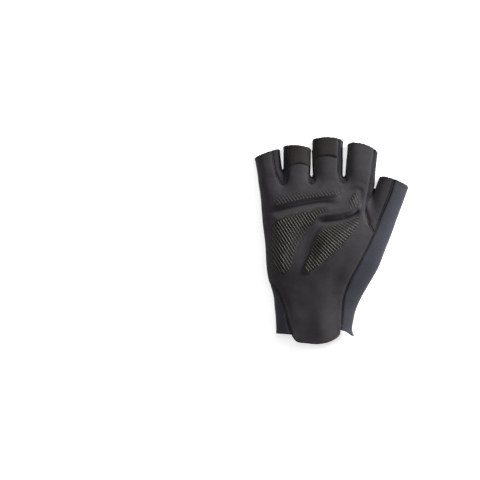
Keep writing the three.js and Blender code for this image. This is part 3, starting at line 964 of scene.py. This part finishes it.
def draped(points, sizes):
    """Points of the form moved to where the cloth lies, and the way that the cloth faces there."""
    seam_tree, edge_tree = seam_trees(sizes.cell / MM)
    facing = unit(slope_of(form_distance, points))
    seam, edge = distances(seam_tree, points), distances(edge_tree, points)
    out = relief(points) + WAVE_HEIGHT * ripple(points)
    puff = np.exp(-((seam - PUFF_PLACE) / PUFF_WIDTH) ** 2)
    out += PUFF_HEIGHT * puff * (1 + 0.9 * dimples(points, 5.0, 3))
    out -= sizes.seam / MM * np.exp(-(seam / 1.0) ** 2)
    out += HEM_HEIGHT * np.exp(-((edge - HEM_PLACE) / HEM_WIDTH) ** 2)
    out += HEM_UNEVEN * dimples(points, 4.0, 9) * np.exp(-(edge / HEM_UNEVEN_REACH) ** 2)
    lying = 1 - smoothstep(0.5, 2.0, points[:, 2])
    out = np.where(out > 0, out * (1 - lying), out)
    places = points + facing * out[:, None]
    places[:, 2] = np.maximum(places[:, 2], LYING)
    return places, facing


def painted_seam_shade(points, cell):
    """How much painted shade of the seam groove points get: the band is wider at the thumb's end of the
    side seam.
    """
    seam = distances(seam_trees(cell)[0], points)
    bold = np.exp(-(beside("side", points) / 5) ** 2) * palm_side(points) * smoothstep(5, 40, points[:, 1])
    width = 1 + 0.9 * bold
    return 1 - smoothstep(PAINTED_SEAM_SHADE[0] * width, PAINTED_SEAM_SHADE[1] * width, seam)


def painted_fold_shade(points):
    """How much painted shade the bottoms of the deepest folds get, where the cloth nearly closes over them.
    """
    dark = np.zeros(len(points))
    for row in FOLDS:
        if "shade" in row:
            bottom = {"line": row["line"], "width": row["dark"]}
            dark = np.maximum(dark, row["shade"] * fold(bottom, points))
    return dark * palm_side(points)


# Pieces from points and faces

def cloth_map(points, faces, facing):
    """Where each corner lies on the flat cloth, in millimetres: from above, or from the side it faces."""
    rows = []
    for face in faces:
        way = np.abs(facing[list(face)].mean(axis=0))
        if way[2] > 0.55:
            axes = (0, 1)
        elif way[0] > way[1]:
            axes = (2, 1)
        else:
            axes = (0, 2)
        rows.append(points[list(face)][:, axes])
    return np.concatenate(rows)


def make_piece(name, points, faces, material, slot, stands_for=(), cloth=None, values=None):
    """Makes a mesh of points in millimetres that rides on the glove."""
    mesh = bpy.data.meshes.new(name)
    mesh.from_pydata((np.asarray(points) * MM).tolist(), [], faces)
    if mesh.validate():
        print(f"{name}: faces were mended")
    mesh.shade_smooth()
    mesh.set_sharp_from_angle(angle=math.radians(60))
    if cloth is not None:
        layer = mesh.uv_layers.new(name="cloth")
        layer.data.foreach_set("uv", np.asarray(cloth, np.float32).ravel())
    for key, row in (values or {}).items():
        attribute = mesh.attributes.new(key, "FLOAT", "POINT")
        attribute.data.foreach_set("value", np.asarray(row, np.float32))
    mesh.materials.append(material)
    piece = bpy.data.objects.new(name, mesh)
    bpy.context.scene.collection.objects.link(piece)
    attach(piece, BODY)
    if stands_for:
        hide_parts(*stands_for)
    return piece


def part_of(faces):
    """The points that some faces use, and the faces numbered anew for them."""
    used = sorted(set(itertools.chain.from_iterable(faces)))
    number = {old: new for new, old in enumerate(used)}
    return np.array(used), [tuple(number[v] for v in face) for face in faces]


def thicken(piece, thickness, rounding):
    """Gives a surface its thickness inwards and rounds its rim."""
    solid = piece.modifiers.new("Cloth", "SOLIDIFY")
    solid.thickness = thickness
    solid.offset = -1
    round_rim = piece.modifiers.new("Rim", "BEVEL")
    round_rim.width = rounding
    round_rim.segments = 2
    round_rim.limit_method = "ANGLE"
    round_rim.angle_limit = math.radians(52)


def tube_along(points, facing, width, height, sides=8, taper=0.45):
    """A thread or rib: points and faces of a tube of oval section, narrower at its two ends."""
    points, facing = np.asarray(points, float), unit(np.asarray(facing, float))
    along = unit(np.gradient(points, axis=0))
    across = unit(np.cross(along, facing))
    facing = np.cross(across, along)
    size = np.ones(len(points))
    size[[0, -1]] = taper
    angles = 2 * math.pi * np.arange(sides) / sides
    ring = (np.cos(angles)[None, :, None] * across[:, None] * width / 2
            + np.sin(angles)[None, :, None] * facing[:, None] * height)
    spots = points[:, None] + ring * size[:, None, None]
    spots[:, :, 2] = np.maximum(spots[:, :, 2], LYING)
    faces = []
    for k in range(len(points) - 1):
        for i in range(sides):
            a, b = k * sides + i, k * sides + (i + 1) % sides
            faces.append((a, b, b + sides, a + sides))
    faces.append(tuple(range(sides))[::-1])
    faces.append(tuple(range((len(points) - 1) * sides, len(points) * sides)))
    return spots.reshape(-1, 3), faces


def joined(parts):
    """Several meshes as one."""
    points, faces, start = [], [], 0
    for spots, some in parts:
        points.append(spots)
        faces.extend(tuple(v + start for v in face) for face in some)
        start += len(spots)
    return np.concatenate(points), faces


def evaluated_tree(pieces):
    """A search tree of the finished surfaces of pieces, in millimetres."""
    graph = bpy.context.evaluated_depsgraph_get()
    points, faces = [], []
    for piece in pieces:
        mesh = piece.evaluated_get(graph).to_mesh()
        start = len(points)
        points.extend(v.co / MM for v in mesh.vertices)
        faces.extend([start + v for v in polygon.vertices] for polygon in mesh.polygons)
    return BVHTree.FromPolygons(points, faces)


# Materials

def add_node(tree, kind, inputs=None, **settings):
    """Adds a node with its settings; inputs maps a socket to a value or to another node's output."""
    node = tree.nodes.new(kind)
    for key, value in settings.items():
        setattr(node, key, value)
    for socket, value in (inputs or {}).items():
        target = node.inputs[socket]
        if isinstance(value, bpy.types.NodeSocket):
            tree.links.new(value, target)
        else:
            target.default_value = value
    return node


def per_mm(size):
    """The scale of a noise whose grains measure size millimetres, for places in metres."""
    return 1 / (size * MM)


def start_material(name, **finish):
    """A material with its shader; finish sets the shader's own sockets."""
    material = bpy.data.materials.new(name)
    material.use_nodes = True
    tree = material.node_tree
    tree.nodes.clear()
    shader = add_node(tree, "ShaderNodeBsdfPrincipled")
    for key, value in finish.items():
        shader.inputs[key.replace("_", " ")].default_value = value
    add_node(tree, "ShaderNodeOutputMaterial", {"Surface": shader.outputs["BSDF"]})
    return material, tree, shader


def shade(colour, factor):
    """A lighter or darker tone of a colour, with its alpha."""
    return (*(min(1.0, channel * factor) for channel in colour), 1.0)


def paint_shade_into(tree, mixed, dark):
    """Paints shade into a cloth's colour along its seams and at the bottoms of its deepest folds, by the
    seam attribute.
    """
    amount = add_node(tree, "ShaderNodeAttribute", attribute_name="seam").outputs["Fac"]
    return add_node(tree, "ShaderNodeMix", {"Factor": amount, "A": mixed.outputs["Result"],
                                            "B": shade(dark, 1)}, data_type="RGBA")


def suede_material(name, colour, dark, ground=None):
    """Microfibre suede: a brushed polyester nap, dead matt, with a dusty bloom where it is seen aslant.

    The nap of 0.2 mm is too fine to show, so it is drawn at 0.6 mm, over brushed patches of 9 mm. Along the
    seams and at the bottoms of the deepest folds, shade is painted into the colour.
    """
    material, tree, shader = start_material(
        name, Roughness=0.92, Specular_IOR_Level=0.1, Sheen_Weight=0.16, Sheen_Roughness=0.45,
        Sheen_Tint=(0.80, 0.79, 0.80, 1.0))
    place = add_node(tree, "ShaderNodeTexCoord").outputs["Object"]
    nap = add_node(tree, "ShaderNodeTexNoise", {"Vector": place, "Scale": per_mm(0.6), "Detail": 3.0,
                                                "Roughness": 0.7})
    patches = add_node(tree, "ShaderNodeTexNoise", {"Vector": place, "Scale": per_mm(9), "Detail": 4.0,
                                                    "Roughness": 0.6})
    tone = add_node(tree, "ShaderNodeMath", {0: nap.outputs["Fac"], 1: 0.45}, operation="MULTIPLY")
    tone = add_node(tree, "ShaderNodeMath", {0: patches.outputs["Fac"], 1: 0.55, 2: tone.outputs[0]},
                    operation="MULTIPLY_ADD")
    base = add_node(tree, "ShaderNodeMapRange", {"Value": tone.outputs[0], "From Min": 0.3,
                                                 "From Max": 0.7})
    mixed = add_node(tree, "ShaderNodeMix", {"Factor": base.outputs["Result"], "A": shade(colour, 0.82),
                                             "B": shade(colour, 1.16)}, data_type="RGBA")
    if ground:
        amount = add_node(tree, "ShaderNodeAttribute", attribute_name="print").outputs["Fac"]
        mixed = add_node(tree, "ShaderNodeMix", {"Factor": amount, "A": mixed.outputs["Result"],
                                                 "B": shade(ground, 1)}, data_type="RGBA")
    mixed = paint_shade_into(tree, mixed, dark)
    tree.links.new(mixed.outputs["Result"], shader.inputs["Base Color"])
    height = add_node(tree, "ShaderNodeMath", {0: patches.outputs["Fac"], 1: 1.6, 2: nap.outputs["Fac"]},
                      operation="MULTIPLY_ADD")
    bump = add_node(tree, "ShaderNodeBump", {"Height": height.outputs[0], "Strength": 0.55,
                                             "Distance": 0.16 * MM})
    tree.links.new(bump.outputs["Normal"], shader.inputs["Normal"])
    return material


def knit_material(name, colour, dark, wale, sheen, contrast):
    """Stretch knit: elastane yarns in upright wales, which gives a soft sheen and fine ribs.

    The wales are drawn wale millimetres wide, coarser than the real 0.5 mm, so that they show. Along the
    seams, and in deep folds near the palm, shade is painted into the colour.
    """
    material, tree, shader = start_material(
        name, Roughness=0.7, Specular_IOR_Level=0.12, Sheen_Weight=sheen, Sheen_Roughness=0.35,
        Sheen_Tint=(0.72, 0.74, 0.86, 1.0))
    cloth = add_node(tree, "ShaderNodeUVMap", uv_map="cloth").outputs["UV"]
    place = add_node(tree, "ShaderNodeTexCoord").outputs["Object"]
    split = add_node(tree, "ShaderNodeSeparateXYZ", {"Vector": cloth})
    turns = 2 * math.pi / wale
    across = add_node(tree, "ShaderNodeMath", {0: split.outputs["X"], 1: turns}, operation="MULTIPLY")
    along = add_node(tree, "ShaderNodeMath", {0: split.outputs["Y"], 1: turns}, operation="MULTIPLY")
    wave = add_node(tree, "ShaderNodeMath", {0: across.outputs[0]}, operation="SINE")
    ribs = add_node(tree, "ShaderNodeMath", {0: wave.outputs[0]}, operation="ABSOLUTE")
    slanted = add_node(tree, "ShaderNodeMath", {0: ribs.outputs[0], 1: 2.4, 2: along.outputs[0]},
                       operation="MULTIPLY_ADD")
    loops = add_node(tree, "ShaderNodeMath", {0: slanted.outputs[0]}, operation="SINE")
    knit = add_node(tree, "ShaderNodeMath", {0: loops.outputs[0], 1: 0.4, 2: ribs.outputs[0]},
                    operation="MULTIPLY_ADD")
    cloudy = add_node(tree, "ShaderNodeTexNoise", {"Vector": place, "Scale": per_mm(12), "Detail": 3.0})
    tone = add_node(tree, "ShaderNodeMath", {0: cloudy.outputs["Fac"], 1: 0.8, 2: knit.outputs[0]},
                    operation="MULTIPLY_ADD")
    base = add_node(tree, "ShaderNodeMapRange", {"Value": tone.outputs[0], "From Min": 0.0,
                                                 "From Max": 1.8})
    mixed = add_node(tree, "ShaderNodeMix", {"Factor": base.outputs["Result"],
                                             "A": shade(colour, 1 - contrast),
                                             "B": shade(colour, 1 + contrast)}, data_type="RGBA")
    mixed = paint_shade_into(tree, mixed, dark)
    tree.links.new(mixed.outputs["Result"], shader.inputs["Base Color"])
    bump = add_node(tree, "ShaderNodeBump", {"Height": knit.outputs[0], "Strength": 0.5,
                                             "Distance": 0.12 * MM})
    tree.links.new(bump.outputs["Normal"], shader.inputs["Normal"])
    return material


def mesh_material(name, colour):
    """Perforated warp-knit mesh: a lattice of glossy yarn round small diamond holes, nearly black.

    The lattice is drawn 1.7 mm wide, coarser than the real 1.1 mm, so that its holes show.
    """
    pitch = 1.7
    material, tree, shader = start_material(
        name, Specular_IOR_Level=0.35, Sheen_Weight=0.08, Sheen_Roughness=0.4,
        Sheen_Tint=(0.8, 0.8, 0.85, 1.0))
    cloth = add_node(tree, "ShaderNodeUVMap", uv_map="cloth").outputs["UV"]
    turned = add_node(tree, "ShaderNodeMapping", {"Vector": cloth, "Rotation": (0, 0, math.radians(45)),
                                                  "Scale": (1 / pitch, 1 / pitch, 1 / pitch)})
    cell = add_node(tree, "ShaderNodeVectorMath", {0: turned.outputs["Vector"]}, operation="FRACTION")
    centred = add_node(tree, "ShaderNodeVectorMath", {0: cell.outputs[0], 1: (0.5, 0.5, 0)},
                       operation="SUBTRACT")
    away = add_node(tree, "ShaderNodeVectorMath", {0: centred.outputs[0]}, operation="LENGTH")
    yarn = add_node(tree, "ShaderNodeMapRange", {"Value": away.outputs["Value"], "From Min": 0.2,
                                                 "From Max": 0.42})
    place = add_node(tree, "ShaderNodeTexCoord").outputs["Object"]
    cloudy = add_node(tree, "ShaderNodeTexNoise", {"Vector": place, "Scale": per_mm(16), "Detail": 3.0})
    lit = add_node(tree, "ShaderNodeMath", {0: yarn.outputs["Result"], 1: cloudy.outputs["Fac"]},
                   operation="MULTIPLY")
    mixed = add_node(tree, "ShaderNodeMix", {"Factor": lit.outputs[0], "A": shade(colour, 0.28),
                                             "B": shade(colour, 2.1)}, data_type="RGBA")
    rough = add_node(tree, "ShaderNodeMapRange", {"Value": yarn.outputs["Result"], "To Min": 0.95,
                                                  "To Max": 0.55})
    tree.links.new(mixed.outputs["Result"], shader.inputs["Base Color"])
    tree.links.new(rough.outputs["Result"], shader.inputs["Roughness"])
    bump = add_node(tree, "ShaderNodeBump", {"Height": yarn.outputs["Result"], "Strength": 0.8,
                                             "Distance": 0.3 * MM})
    tree.links.new(bump.outputs["Normal"], shader.inputs["Normal"])
    return material


def silicone_material(name, colour, low_strength_colour):
    """Screen-printed silicone: a rubbery satin bead, a little cloudy, that stands out light on the suede.

    Where the strength attribute is low, the colour blends towards the suede's.
    """
    material, tree, shader = start_material(name, Roughness=0.42, Specular_IOR_Level=0.4, IOR=1.41)
    place = add_node(tree, "ShaderNodeTexCoord").outputs["Object"]
    cloudy = add_node(tree, "ShaderNodeTexNoise", {"Vector": place, "Scale": per_mm(2.2), "Detail": 3.0})
    worn = add_node(tree, "ShaderNodeTexNoise", {"Vector": place, "Scale": per_mm(11), "Detail": 2.0})
    tone = add_node(tree, "ShaderNodeMath", {0: cloudy.outputs["Fac"], 1: worn.outputs["Fac"]},
                    operation="MULTIPLY")
    base = add_node(tree, "ShaderNodeMapRange", {"Value": tone.outputs[0], "From Min": 0.12,
                                                 "From Max": 0.4})
    mixed = add_node(tree, "ShaderNodeMix", {"Factor": base.outputs["Result"], "A": shade(colour, 0.6),
                                             "B": shade(colour, 1.15)}, data_type="RGBA")
    strength = add_node(tree, "ShaderNodeAttribute", attribute_name="strength").outputs["Fac"]
    mixed = add_node(tree, "ShaderNodeMix", {"Factor": strength, "A": shade(low_strength_colour, 1),
                                             "B": mixed.outputs["Result"]}, data_type="RGBA")
    tree.links.new(mixed.outputs["Result"], shader.inputs["Base Color"])
    bump = add_node(tree, "ShaderNodeBump", {"Height": cloudy.outputs["Fac"], "Strength": 0.3,
                                             "Distance": 0.06 * MM})
    tree.links.new(bump.outputs["Normal"], shader.inputs["Normal"])
    return material


def thread_material(name, colour):
    """Twisted polyester thread: black with a faint sheen and the twist's fine slant, drawn 0.5 mm wide."""
    material, tree, shader = start_material(name, Roughness=0.6, Specular_IOR_Level=0.35, Sheen_Weight=0.1)
    place = add_node(tree, "ShaderNodeTexCoord").outputs["Object"]
    twist = add_node(tree, "ShaderNodeTexNoise", {"Vector": place, "Scale": per_mm(0.5), "Detail": 1.0})
    mixed = add_node(tree, "ShaderNodeMix", {"Factor": twist.outputs["Fac"], "A": shade(colour, 0.6),
                                             "B": shade(colour, 1.7)}, data_type="RGBA")
    tree.links.new(mixed.outputs["Result"], shader.inputs["Base Color"])
    return material


def finishes(colours):
    """The finishes of the glove, made once."""
    # The thread's colour also serves as the colour of painted shade along seams and in deep folds.
    dark = colours.thread
    made = {
        "suede": ("Charcoal microfibre suede", suede_material, colours.suede, dark),
        "tab": ("Brushed brown-black suede", suede_material, colours.tab, dark),
        "pad": ("Microfibre suede over gel", suede_material, colours.suede, dark, colours.ground),
        "mesh": ("Perforated warp-knit mesh", mesh_material, colours.mesh),
        "stretch": ("Blue-grey stretch knit", knit_material, colours.stretch, dark, 1.5, 0.2, 0.14),
        "strip": ("Near-black stretch knit", knit_material, colours.strip, dark, 1.3, 0.05, 0.22),
        "silicone": ("Screen-printed silicone", silicone_material, colours.silicone, colours.suede),
        "thread": ("Twisted polyester thread", thread_material, colours.thread),
    }
    return {key: bpy.data.materials.get(name) or make(name, *values)
            for key, (name, make, *values) in made.items()}


# The key of each cloth panel's finish.
PANEL_SLOTS = {
    "palm_panel": "suede",
    "back_panel": "mesh",
    "thumb_panel": "suede",
    "side_and_cuff": "stretch",
    **{name: "strip" for name in STRIPS},
}


class GLOVE_OT_shell(bpy.types.Operator):
    """Make the cloth panels of the glove"""

    bl_idname = "glove.shell"
    bl_label = "Cloth panels"

    def execute(self, context):
        sizes, materials = context.scene.glove_sizes, finishes(context.scene.glove_colours)
        skin = shell_skin(sizes.cell / MM)
        panels = seams(sizes.cell / MM)[0]
        points, facing = draped(skin.points, sizes)
        # dark: painted shade along the seams and at the bottoms of the deepest folds, carried by the
        # attribute named seam
        dark = np.maximum(painted_seam_shade(skin.points, sizes.cell / MM), painted_fold_shade(skin.points))
        for number, name in enumerate(PANELS):
            used, faces = part_of([skin.faces[index] for index in np.flatnonzero(panels == number)])
            piece = make_piece(f"{name}_cloth", points[used], faces, materials[PANEL_SLOTS[name]],
                               PANEL_SLOTS[name], (name,), cloth_map(points[used], faces, facing[used]),
                               {"seam": dark[used]})
            thicken(piece, sizes.wall, CLOTH_RIM * MM)
        return {"FINISHED"}


def pad_height(name, points):
    """How far a pad stands out of the palm: full in its middle, soft or steep towards its edge."""
    depth = depth_inside(curve_through(PADS[name], 3, closed=True), points) + PAD_GROWTH
    soft = smoothstep(2, 9, distance_to(curve_through(STEEP_EDGES[name]), points))
    quick = smoothstep(-0.3, 3.2, depth)
    slow = smoothstep(0, 9.5, depth)
    crown = 0.82 + 0.18 * smoothstep(0, 12, depth)
    return (quick * (1 - soft) + slow * soft) * crown


def raised_layer(points, faces, facing, height):
    """Points and faces of a closed layer: sunk a little into a surface, and as high over it as told."""
    top = points + facing * (height - SUNK)[:, None]
    bottom = points - facing * 2 * SUNK
    count = len(points)
    rim, _, second = edges_of(Skin(points, faces))
    turned = {(face[i], face[(i + 1) % len(face)]) for face in faces for i in range(len(face))}
    sides = []
    for a, b in rim[second < 0]:
        a, b = (int(a), int(b)) if (a, b) in turned else (int(b), int(a))
        sides.append((b, a, a + count, b + count))
    closed = faces + [tuple(v + count for v in face[::-1]) for face in faces] + sides
    return np.vstack([top, bottom]), closed


def printed_ground(name, points):
    """How strongly the dark ground of the ribs is printed at points of a pad."""
    printed = np.zeros(len(points))
    for row in RIBS:
        if row["pad"] == name:
            inside = depth_inside(np.array(row["outline"], float), points)
            printed = np.maximum(printed, row["ground"] * smoothstep(-0.9, 0.5, inside))
    return printed


class GLOVE_OT_pads(bpy.types.Operator):
    """Make the gel pads on the palm"""

    bl_idname = "glove.pads"
    bl_label = "Gel pads"

    def execute(self, context):
        sizes, materials = context.scene.glove_sizes, finishes(context.scene.glove_colours)
        for name, table in PADS.items():
            inside = partial(depth_inside, curve_through(table, 3, closed=True))
            skin = shell_skin(sizes.cell / MM).copy()
            skin.keep(palm_side(skin.centres()) & (inside(skin.centres()) > -4))
            for level in (-PAD_GROWTH, 0.1, 0.8, 1.8):
                skin.score(inside, palm_side, level, reach=0.2)
            skin.keep(inside(skin.centres()) > -PAD_GROWTH)
            used, faces = part_of(skin.faces)
            points, facing = draped(skin.points[used], sizes)
            height = pad_height(name, points) * sizes.pad / MM
            printed = printed_ground(name, points)
            layer = raised_layer(points, faces, facing, height)
            piece = make_piece(f"{name}_gel", *layer, materials["pad"], "pad", (name,),
                               values={"print": np.append(printed, printed)})
        return {"FINISHED"}


def rib_paths(row, pitch, step=0.9):
    """The lines of the ribs seen from above: they cross the middle line and stop at the outline."""
    outline = np.array(row["outline"], float)
    start, end = (np.array(p, float) for p in row["axis"])
    length = np.linalg.norm(end - start)
    heading = math.atan2(*(end - start)[::-1])
    place = 0.0
    paths = []
    while place < length:
        share = place / length
        angle = math.radians(np.interp(share, (0, 0.5, 1), row["angles"]))
        middle = start + (end - start) * share
        reach = np.arange(-40, 40, step)
        spots = middle + reach[:, None] * np.array((math.cos(angle), math.sin(angle)))
        inside = depth_inside(outline, spots) > 0
        for there, run in itertools.groupby(range(len(spots)), key=lambda k: inside[k]):
            run = list(run)
            if there and len(run) > 2:
                paths.append((share, spots[run]))
        place += pitch / abs(math.sin(heading - angle))
    return paths


def laid_on(tree, spots):
    """Spots seen from above laid on a surface, and the way that it faces there."""
    places, facing = [], []
    for x, y in spots:
        place, way, _, _ = tree.ray_cast(Vector((x, y, 60)), Vector((0, 0, -1)))
        if place is not None:
            places.append(place)
            facing.append(way)
    return np.array(places), np.array(facing)


class GLOVE_OT_ribs(bpy.types.Operator):
    """Make the silicone ribs that are printed on the pads"""

    bl_idname = "glove.ribs"
    bl_label = "Silicone ribs"

    def execute(self, context):
        sizes, materials = context.scene.glove_sizes, finishes(context.scene.glove_colours)
        for row in RIBS:
            tree = evaluated_tree([bpy.data.objects[f"{row['pad']}_gel"]])
            parts, strength = [], []
            for share, path in rib_paths(row, sizes.rib_pitch / MM):
                places, facing = laid_on(tree, path)
                if len(places) > 2:
                    parts.append(tube_along(places, facing, sizes.rib_width / MM, sizes.rib_height / MM))
                    # how strongly the rib's own colour shows over the suede's at this place along the
                    # middle line
                    printed = np.interp(share, (0, 1), row["strength"])
                    rings = np.linspace(1, 1 - RIB_FADE, len(places)) * printed
                    strength.extend(np.repeat(rings, len(parts[-1][0]) // len(places)))
            make_piece(row["name"], *joined(parts), materials["silicone"], "silicone",
                       values={"strength": strength})
        return {"FINISHED"}


def tab_depth(name, points):
    """How far points lie inside a pull tab seen from above."""
    edge = curve_through(PULL_TABS[name], 4)
    outline = np.vstack([edge, (edge[-1, 0], FORM_HIGH[1]), (edge[0, 0], FORM_HIGH[1])])
    return np.minimum(depth_inside(outline, points), 0.1 - past_stall_end(name, points))


def near_tab(name, points):
    """Whether points lie on the palm side of the finger that a pull tab is on."""
    return upper(points) & (stall_distance(name, points) < 1.5)


class GLOVE_OT_pull_tabs(bpy.types.Operator):
    """Make the pull tabs at the ends of two fingers"""

    bl_idname = "glove.pull_tabs"
    bl_label = "Pull tabs"

    def execute(self, context):
        sizes, materials = context.scene.glove_sizes, finishes(context.scene.glove_colours)
        for name in PULL_TABS:
            skin = shell_skin(sizes.cell / MM).copy()
            skin.keep(near_tab(name, skin.centres()) & (tab_depth(name, skin.centres()) > -4))
            for level in (0, 0.45, 1.0):
                skin.score(partial(tab_depth, name), partial(near_tab, name), level, reach=0.15)
            skin.keep(tab_depth(name, skin.centres()) > 0)
            used, faces = part_of(skin.faces)
            points, facing = draped(skin.points[used], sizes)
            rise = TAB_WALL + (1 - TAB_WALL) * smoothstep(0, 0.9, tab_depth(name, skin.points[used]))
            points = points + facing * (rise * sizes.tab / MM)[:, None]
            piece = make_piece(f"pull_tab_{name}_cloth", points, faces, materials["tab"], "suede",
                               (f"pull_tab_{name}",))
            thicken(piece, TAB_WALL * sizes.tab, TAB_RIM * MM)
        return {"FINISHED"}


def smoothed(line, rounds=3):
    """A line with its small zigzags taken out."""
    line = np.array(line, float)
    for _ in range(rounds):
        line[1:-1] = (line[:-2] + 2 * line[1:-1] + line[2:]) / 4
    return line


def even(line, spacing):
    """A line with its points evenly spaced."""
    along = np.append(0, np.cumsum(np.linalg.norm(np.diff(line, axis=0), axis=1)))
    count = max(2, int(round(along[-1] / spacing)) + 1)
    at = np.linspace(0, along[-1], count)
    return np.stack([np.interp(at, along, line[:, k]) for k in range(3)], axis=1)


def on_surface(tree, points):
    """The nearest places on a surface, and the way that it faces there."""
    found = [tree.find_nearest(Vector(p)) for p in points]
    return np.array([f[0] for f in found]), np.array([f[1] for f in found])


def stitches(tree, line, offset, pitch, width):
    """A row of stitches on a surface, beside a line at some distance from it, on the side where cloth is.

    A stitch that would jump from one finger to the next is left out.
    """
    line = even(smoothed(line), 0.5)
    if len(line) < 8:
        return []
    _, facing = on_surface(tree, line)
    aside = offset * unit(np.cross(unit(np.gradient(line, axis=0)), facing))
    ways = [line + aside, line - aside]
    gaps = [np.linalg.norm(on_surface(tree, way)[0] - way, axis=1).mean() for way in ways]
    line = even(smoothed(ways[int(np.argmin(gaps))]), pitch / STITCH_PARTS)
    places, facing = on_surface(tree, line)
    facing = smoothed(facing)
    steps = np.linalg.norm(np.diff(places, axis=0), axis=1)
    parts = []
    for start in range(0, len(places) - len(STITCH_LIFTS), STITCH_PARTS):
        run = slice(start, start + len(STITCH_LIFTS))
        if steps[start:run.stop - 1].max() <= pitch / 2:
            lift = np.array(STITCH_LIFTS)[:, None] * facing[run]
            parts.append(tube_along(places[run] + lift, facing[run], width, STITCH_FLATNESS * width,
                                    sides=6, taper=0.7))
    return parts


class GLOVE_OT_stitching(bpy.types.Operator):
    """Make the thread in the seams and the stitches beside them"""

    bl_idname = "glove.stitching"
    bl_label = "Stitching"

    def execute(self, context):
        sizes, materials = context.scene.glove_sizes, finishes(context.scene.glove_colours)
        cell = sizes.cell / MM
        skin = shell_skin(cell)
        _, sewn, free, sides = seams(cell)
        cloths = [bpy.data.objects[f"{name}_cloth"] for name in PANELS]
        tree = evaluated_tree(cloths)
        pitch, width = sizes.stitch / MM, sizes.thread / MM
        places, _ = draped(skin.points, sizes)
        groups = {}
        for edge, pair in zip(sewn, sides):
            groups.setdefault(tuple(sorted(map(int, pair))), []).append(edge)
        cords, rows = [], []
        for edges in groups.values():
            for run in chains(edges):
                line = even(smoothed(places[run]), 0.9)
                if len(line) < 5:
                    continue
                _, ways = on_surface(tree, line)
                cords.append(tube_along(line - SEAM_THREAD_SUNK * ways, smoothed(ways, 6),
                                        SEAM_THREAD_WIDTH, SEAM_THREAD_HEIGHT, taper=0.8))
                rows += stitches(tree, places[run], STITCH_BESIDE_SEAM, pitch, width)
        make_piece("seam_threads", *joined(cords), materials["thread"], "thread")
        for run in chains(free):
            rows += stitches(tree, places[run], STITCH_BESIDE_EDGE, pitch, width)
        make_piece("seam_stitches", *joined(rows), materials["thread"], "thread")
        return {"FINISHED"}


def area_light(name, place, size, power, aim=(0, 0, 0.01)):
    """A softbox that faces its aim."""
    data = bpy.data.lights.new(name, "AREA")
    data.shape = "RECTANGLE"
    data.size, data.size_y = size
    data.energy = power
    light = bpy.data.objects.new(name, data)
    bpy.context.scene.collection.objects.link(light)
    light.location = place
    light.rotation_euler = (Vector(aim) - Vector(place)).to_track_quat("-Z", "Y").to_euler()
    return light


class GLOVE_OT_stage(bpy.types.Operator):
    """Make the floor, the soft studio light and the camera"""

    bl_idname = "glove.stage"
    bl_label = "Studio"

    def execute(self, context):
        colours = context.scene.glove_colours
        mesh = bpy.data.meshes.new("floor")
        half = 4.0
        corners = [(-half, -half, 0), (half, -half, 0), (half, half, 0), (-half, half, 0)]
        mesh.from_pydata(corners, [], [(0, 1, 2, 3)])
        floor = bpy.data.objects.new("floor", mesh)
        context.scene.collection.objects.link(floor)
        material, _, shader = start_material("Backlit white acrylic", Roughness=0.9, Specular_IOR_Level=0.1,
                                             Emission_Color=(1, 1, 1, 1), Emission_Strength=0.6)
        shader.inputs["Base Color"].default_value = shade(colours.floor, 1)
        mesh.materials.append(material)

        area_light("key softbox", (1.52, 0.88, 0.5), (0.9, 0.6), 96)
        area_light("fill softbox", (-1.5, 0.2, 0.9), (0.9, 0.8), 4.5)
        area_light("overhead softbox", (0.0, 0.6, 1.6), (1.2, 0.9), 6)
        world = bpy.data.worlds.new("studio")
        world.use_nodes = True
        world.node_tree.nodes["Background"].inputs["Color"].default_value = (1, 1, 1, 1)
        world.node_tree.nodes["Background"].inputs["Strength"].default_value = 0.24
        context.scene.world = world
        context.scene.view_settings.view_transform = "Standard"

        photo_width = 480
        mm_per_pixel = 0.9
        glove_middle = (331, 240.5)
        lens, sensor = 200, 36
        data = bpy.data.cameras.new("camera")
        data.lens, data.sensor_width = lens, sensor
        camera = bpy.data.objects.new("camera", data)
        context.scene.collection.objects.link(camera)
        away = lens / sensor * photo_width * mm_per_pixel
        mean_height = 12
        camera.location = ((photo_width / 2 - glove_middle[0]) * mm_per_pixel * MM,
                           (glove_middle[1] - photo_width / 2) * mm_per_pixel * MM,
                           (away + mean_height) * MM)
        context.scene.camera = camera
        return {"FINISHED"}


class GLOVE_PT_build(bpy.types.Panel):
    """Sidebar panel with the steps that build the glove"""

    bl_idname = "GLOVE_PT_build"
    bl_label = "Cycling Glove"
    bl_space_type = "VIEW_3D"
    bl_region_type = "UI"
    bl_category = "Glove"

    def draw(self, context):
        layout = self.layout
        for step in STEPS:
            layout.operator(step.bl_idname)
        for group in (context.scene.glove_sizes, context.scene.glove_colours):
            box = layout.box()
            for key in group.__annotations__:
                box.prop(group, key)


STEPS = (GLOVE_OT_shell, GLOVE_OT_pads, GLOVE_OT_ribs, GLOVE_OT_pull_tabs, GLOVE_OT_stitching,
         GLOVE_OT_stage)
CLASSES = (GloveSizes, GloveColours, *STEPS, GLOVE_PT_build)


def register():
    """Makes the glove's classes and settings known to Blender."""
    for cls in CLASSES:
        bpy.utils.register_class(cls)
    bpy.types.Scene.glove_sizes = PointerProperty(type=GloveSizes)
    bpy.types.Scene.glove_colours = PointerProperty(type=GloveColours)


def unregister():
    """Takes them out again."""
    del bpy.types.Scene.glove_colours
    del bpy.types.Scene.glove_sizes
    for cls in reversed(CLASSES):
        bpy.utils.unregister_class(cls)


def main():
    """Builds the glove and its studio."""
    register()
    bpy.ops.glove.shell()
    bpy.ops.glove.pads()
    bpy.ops.glove.ribs()
    bpy.ops.glove.pull_tabs()
    bpy.ops.glove.stitching()
    bpy.ops.glove.stage()


if __name__ == "__main__":
    main()
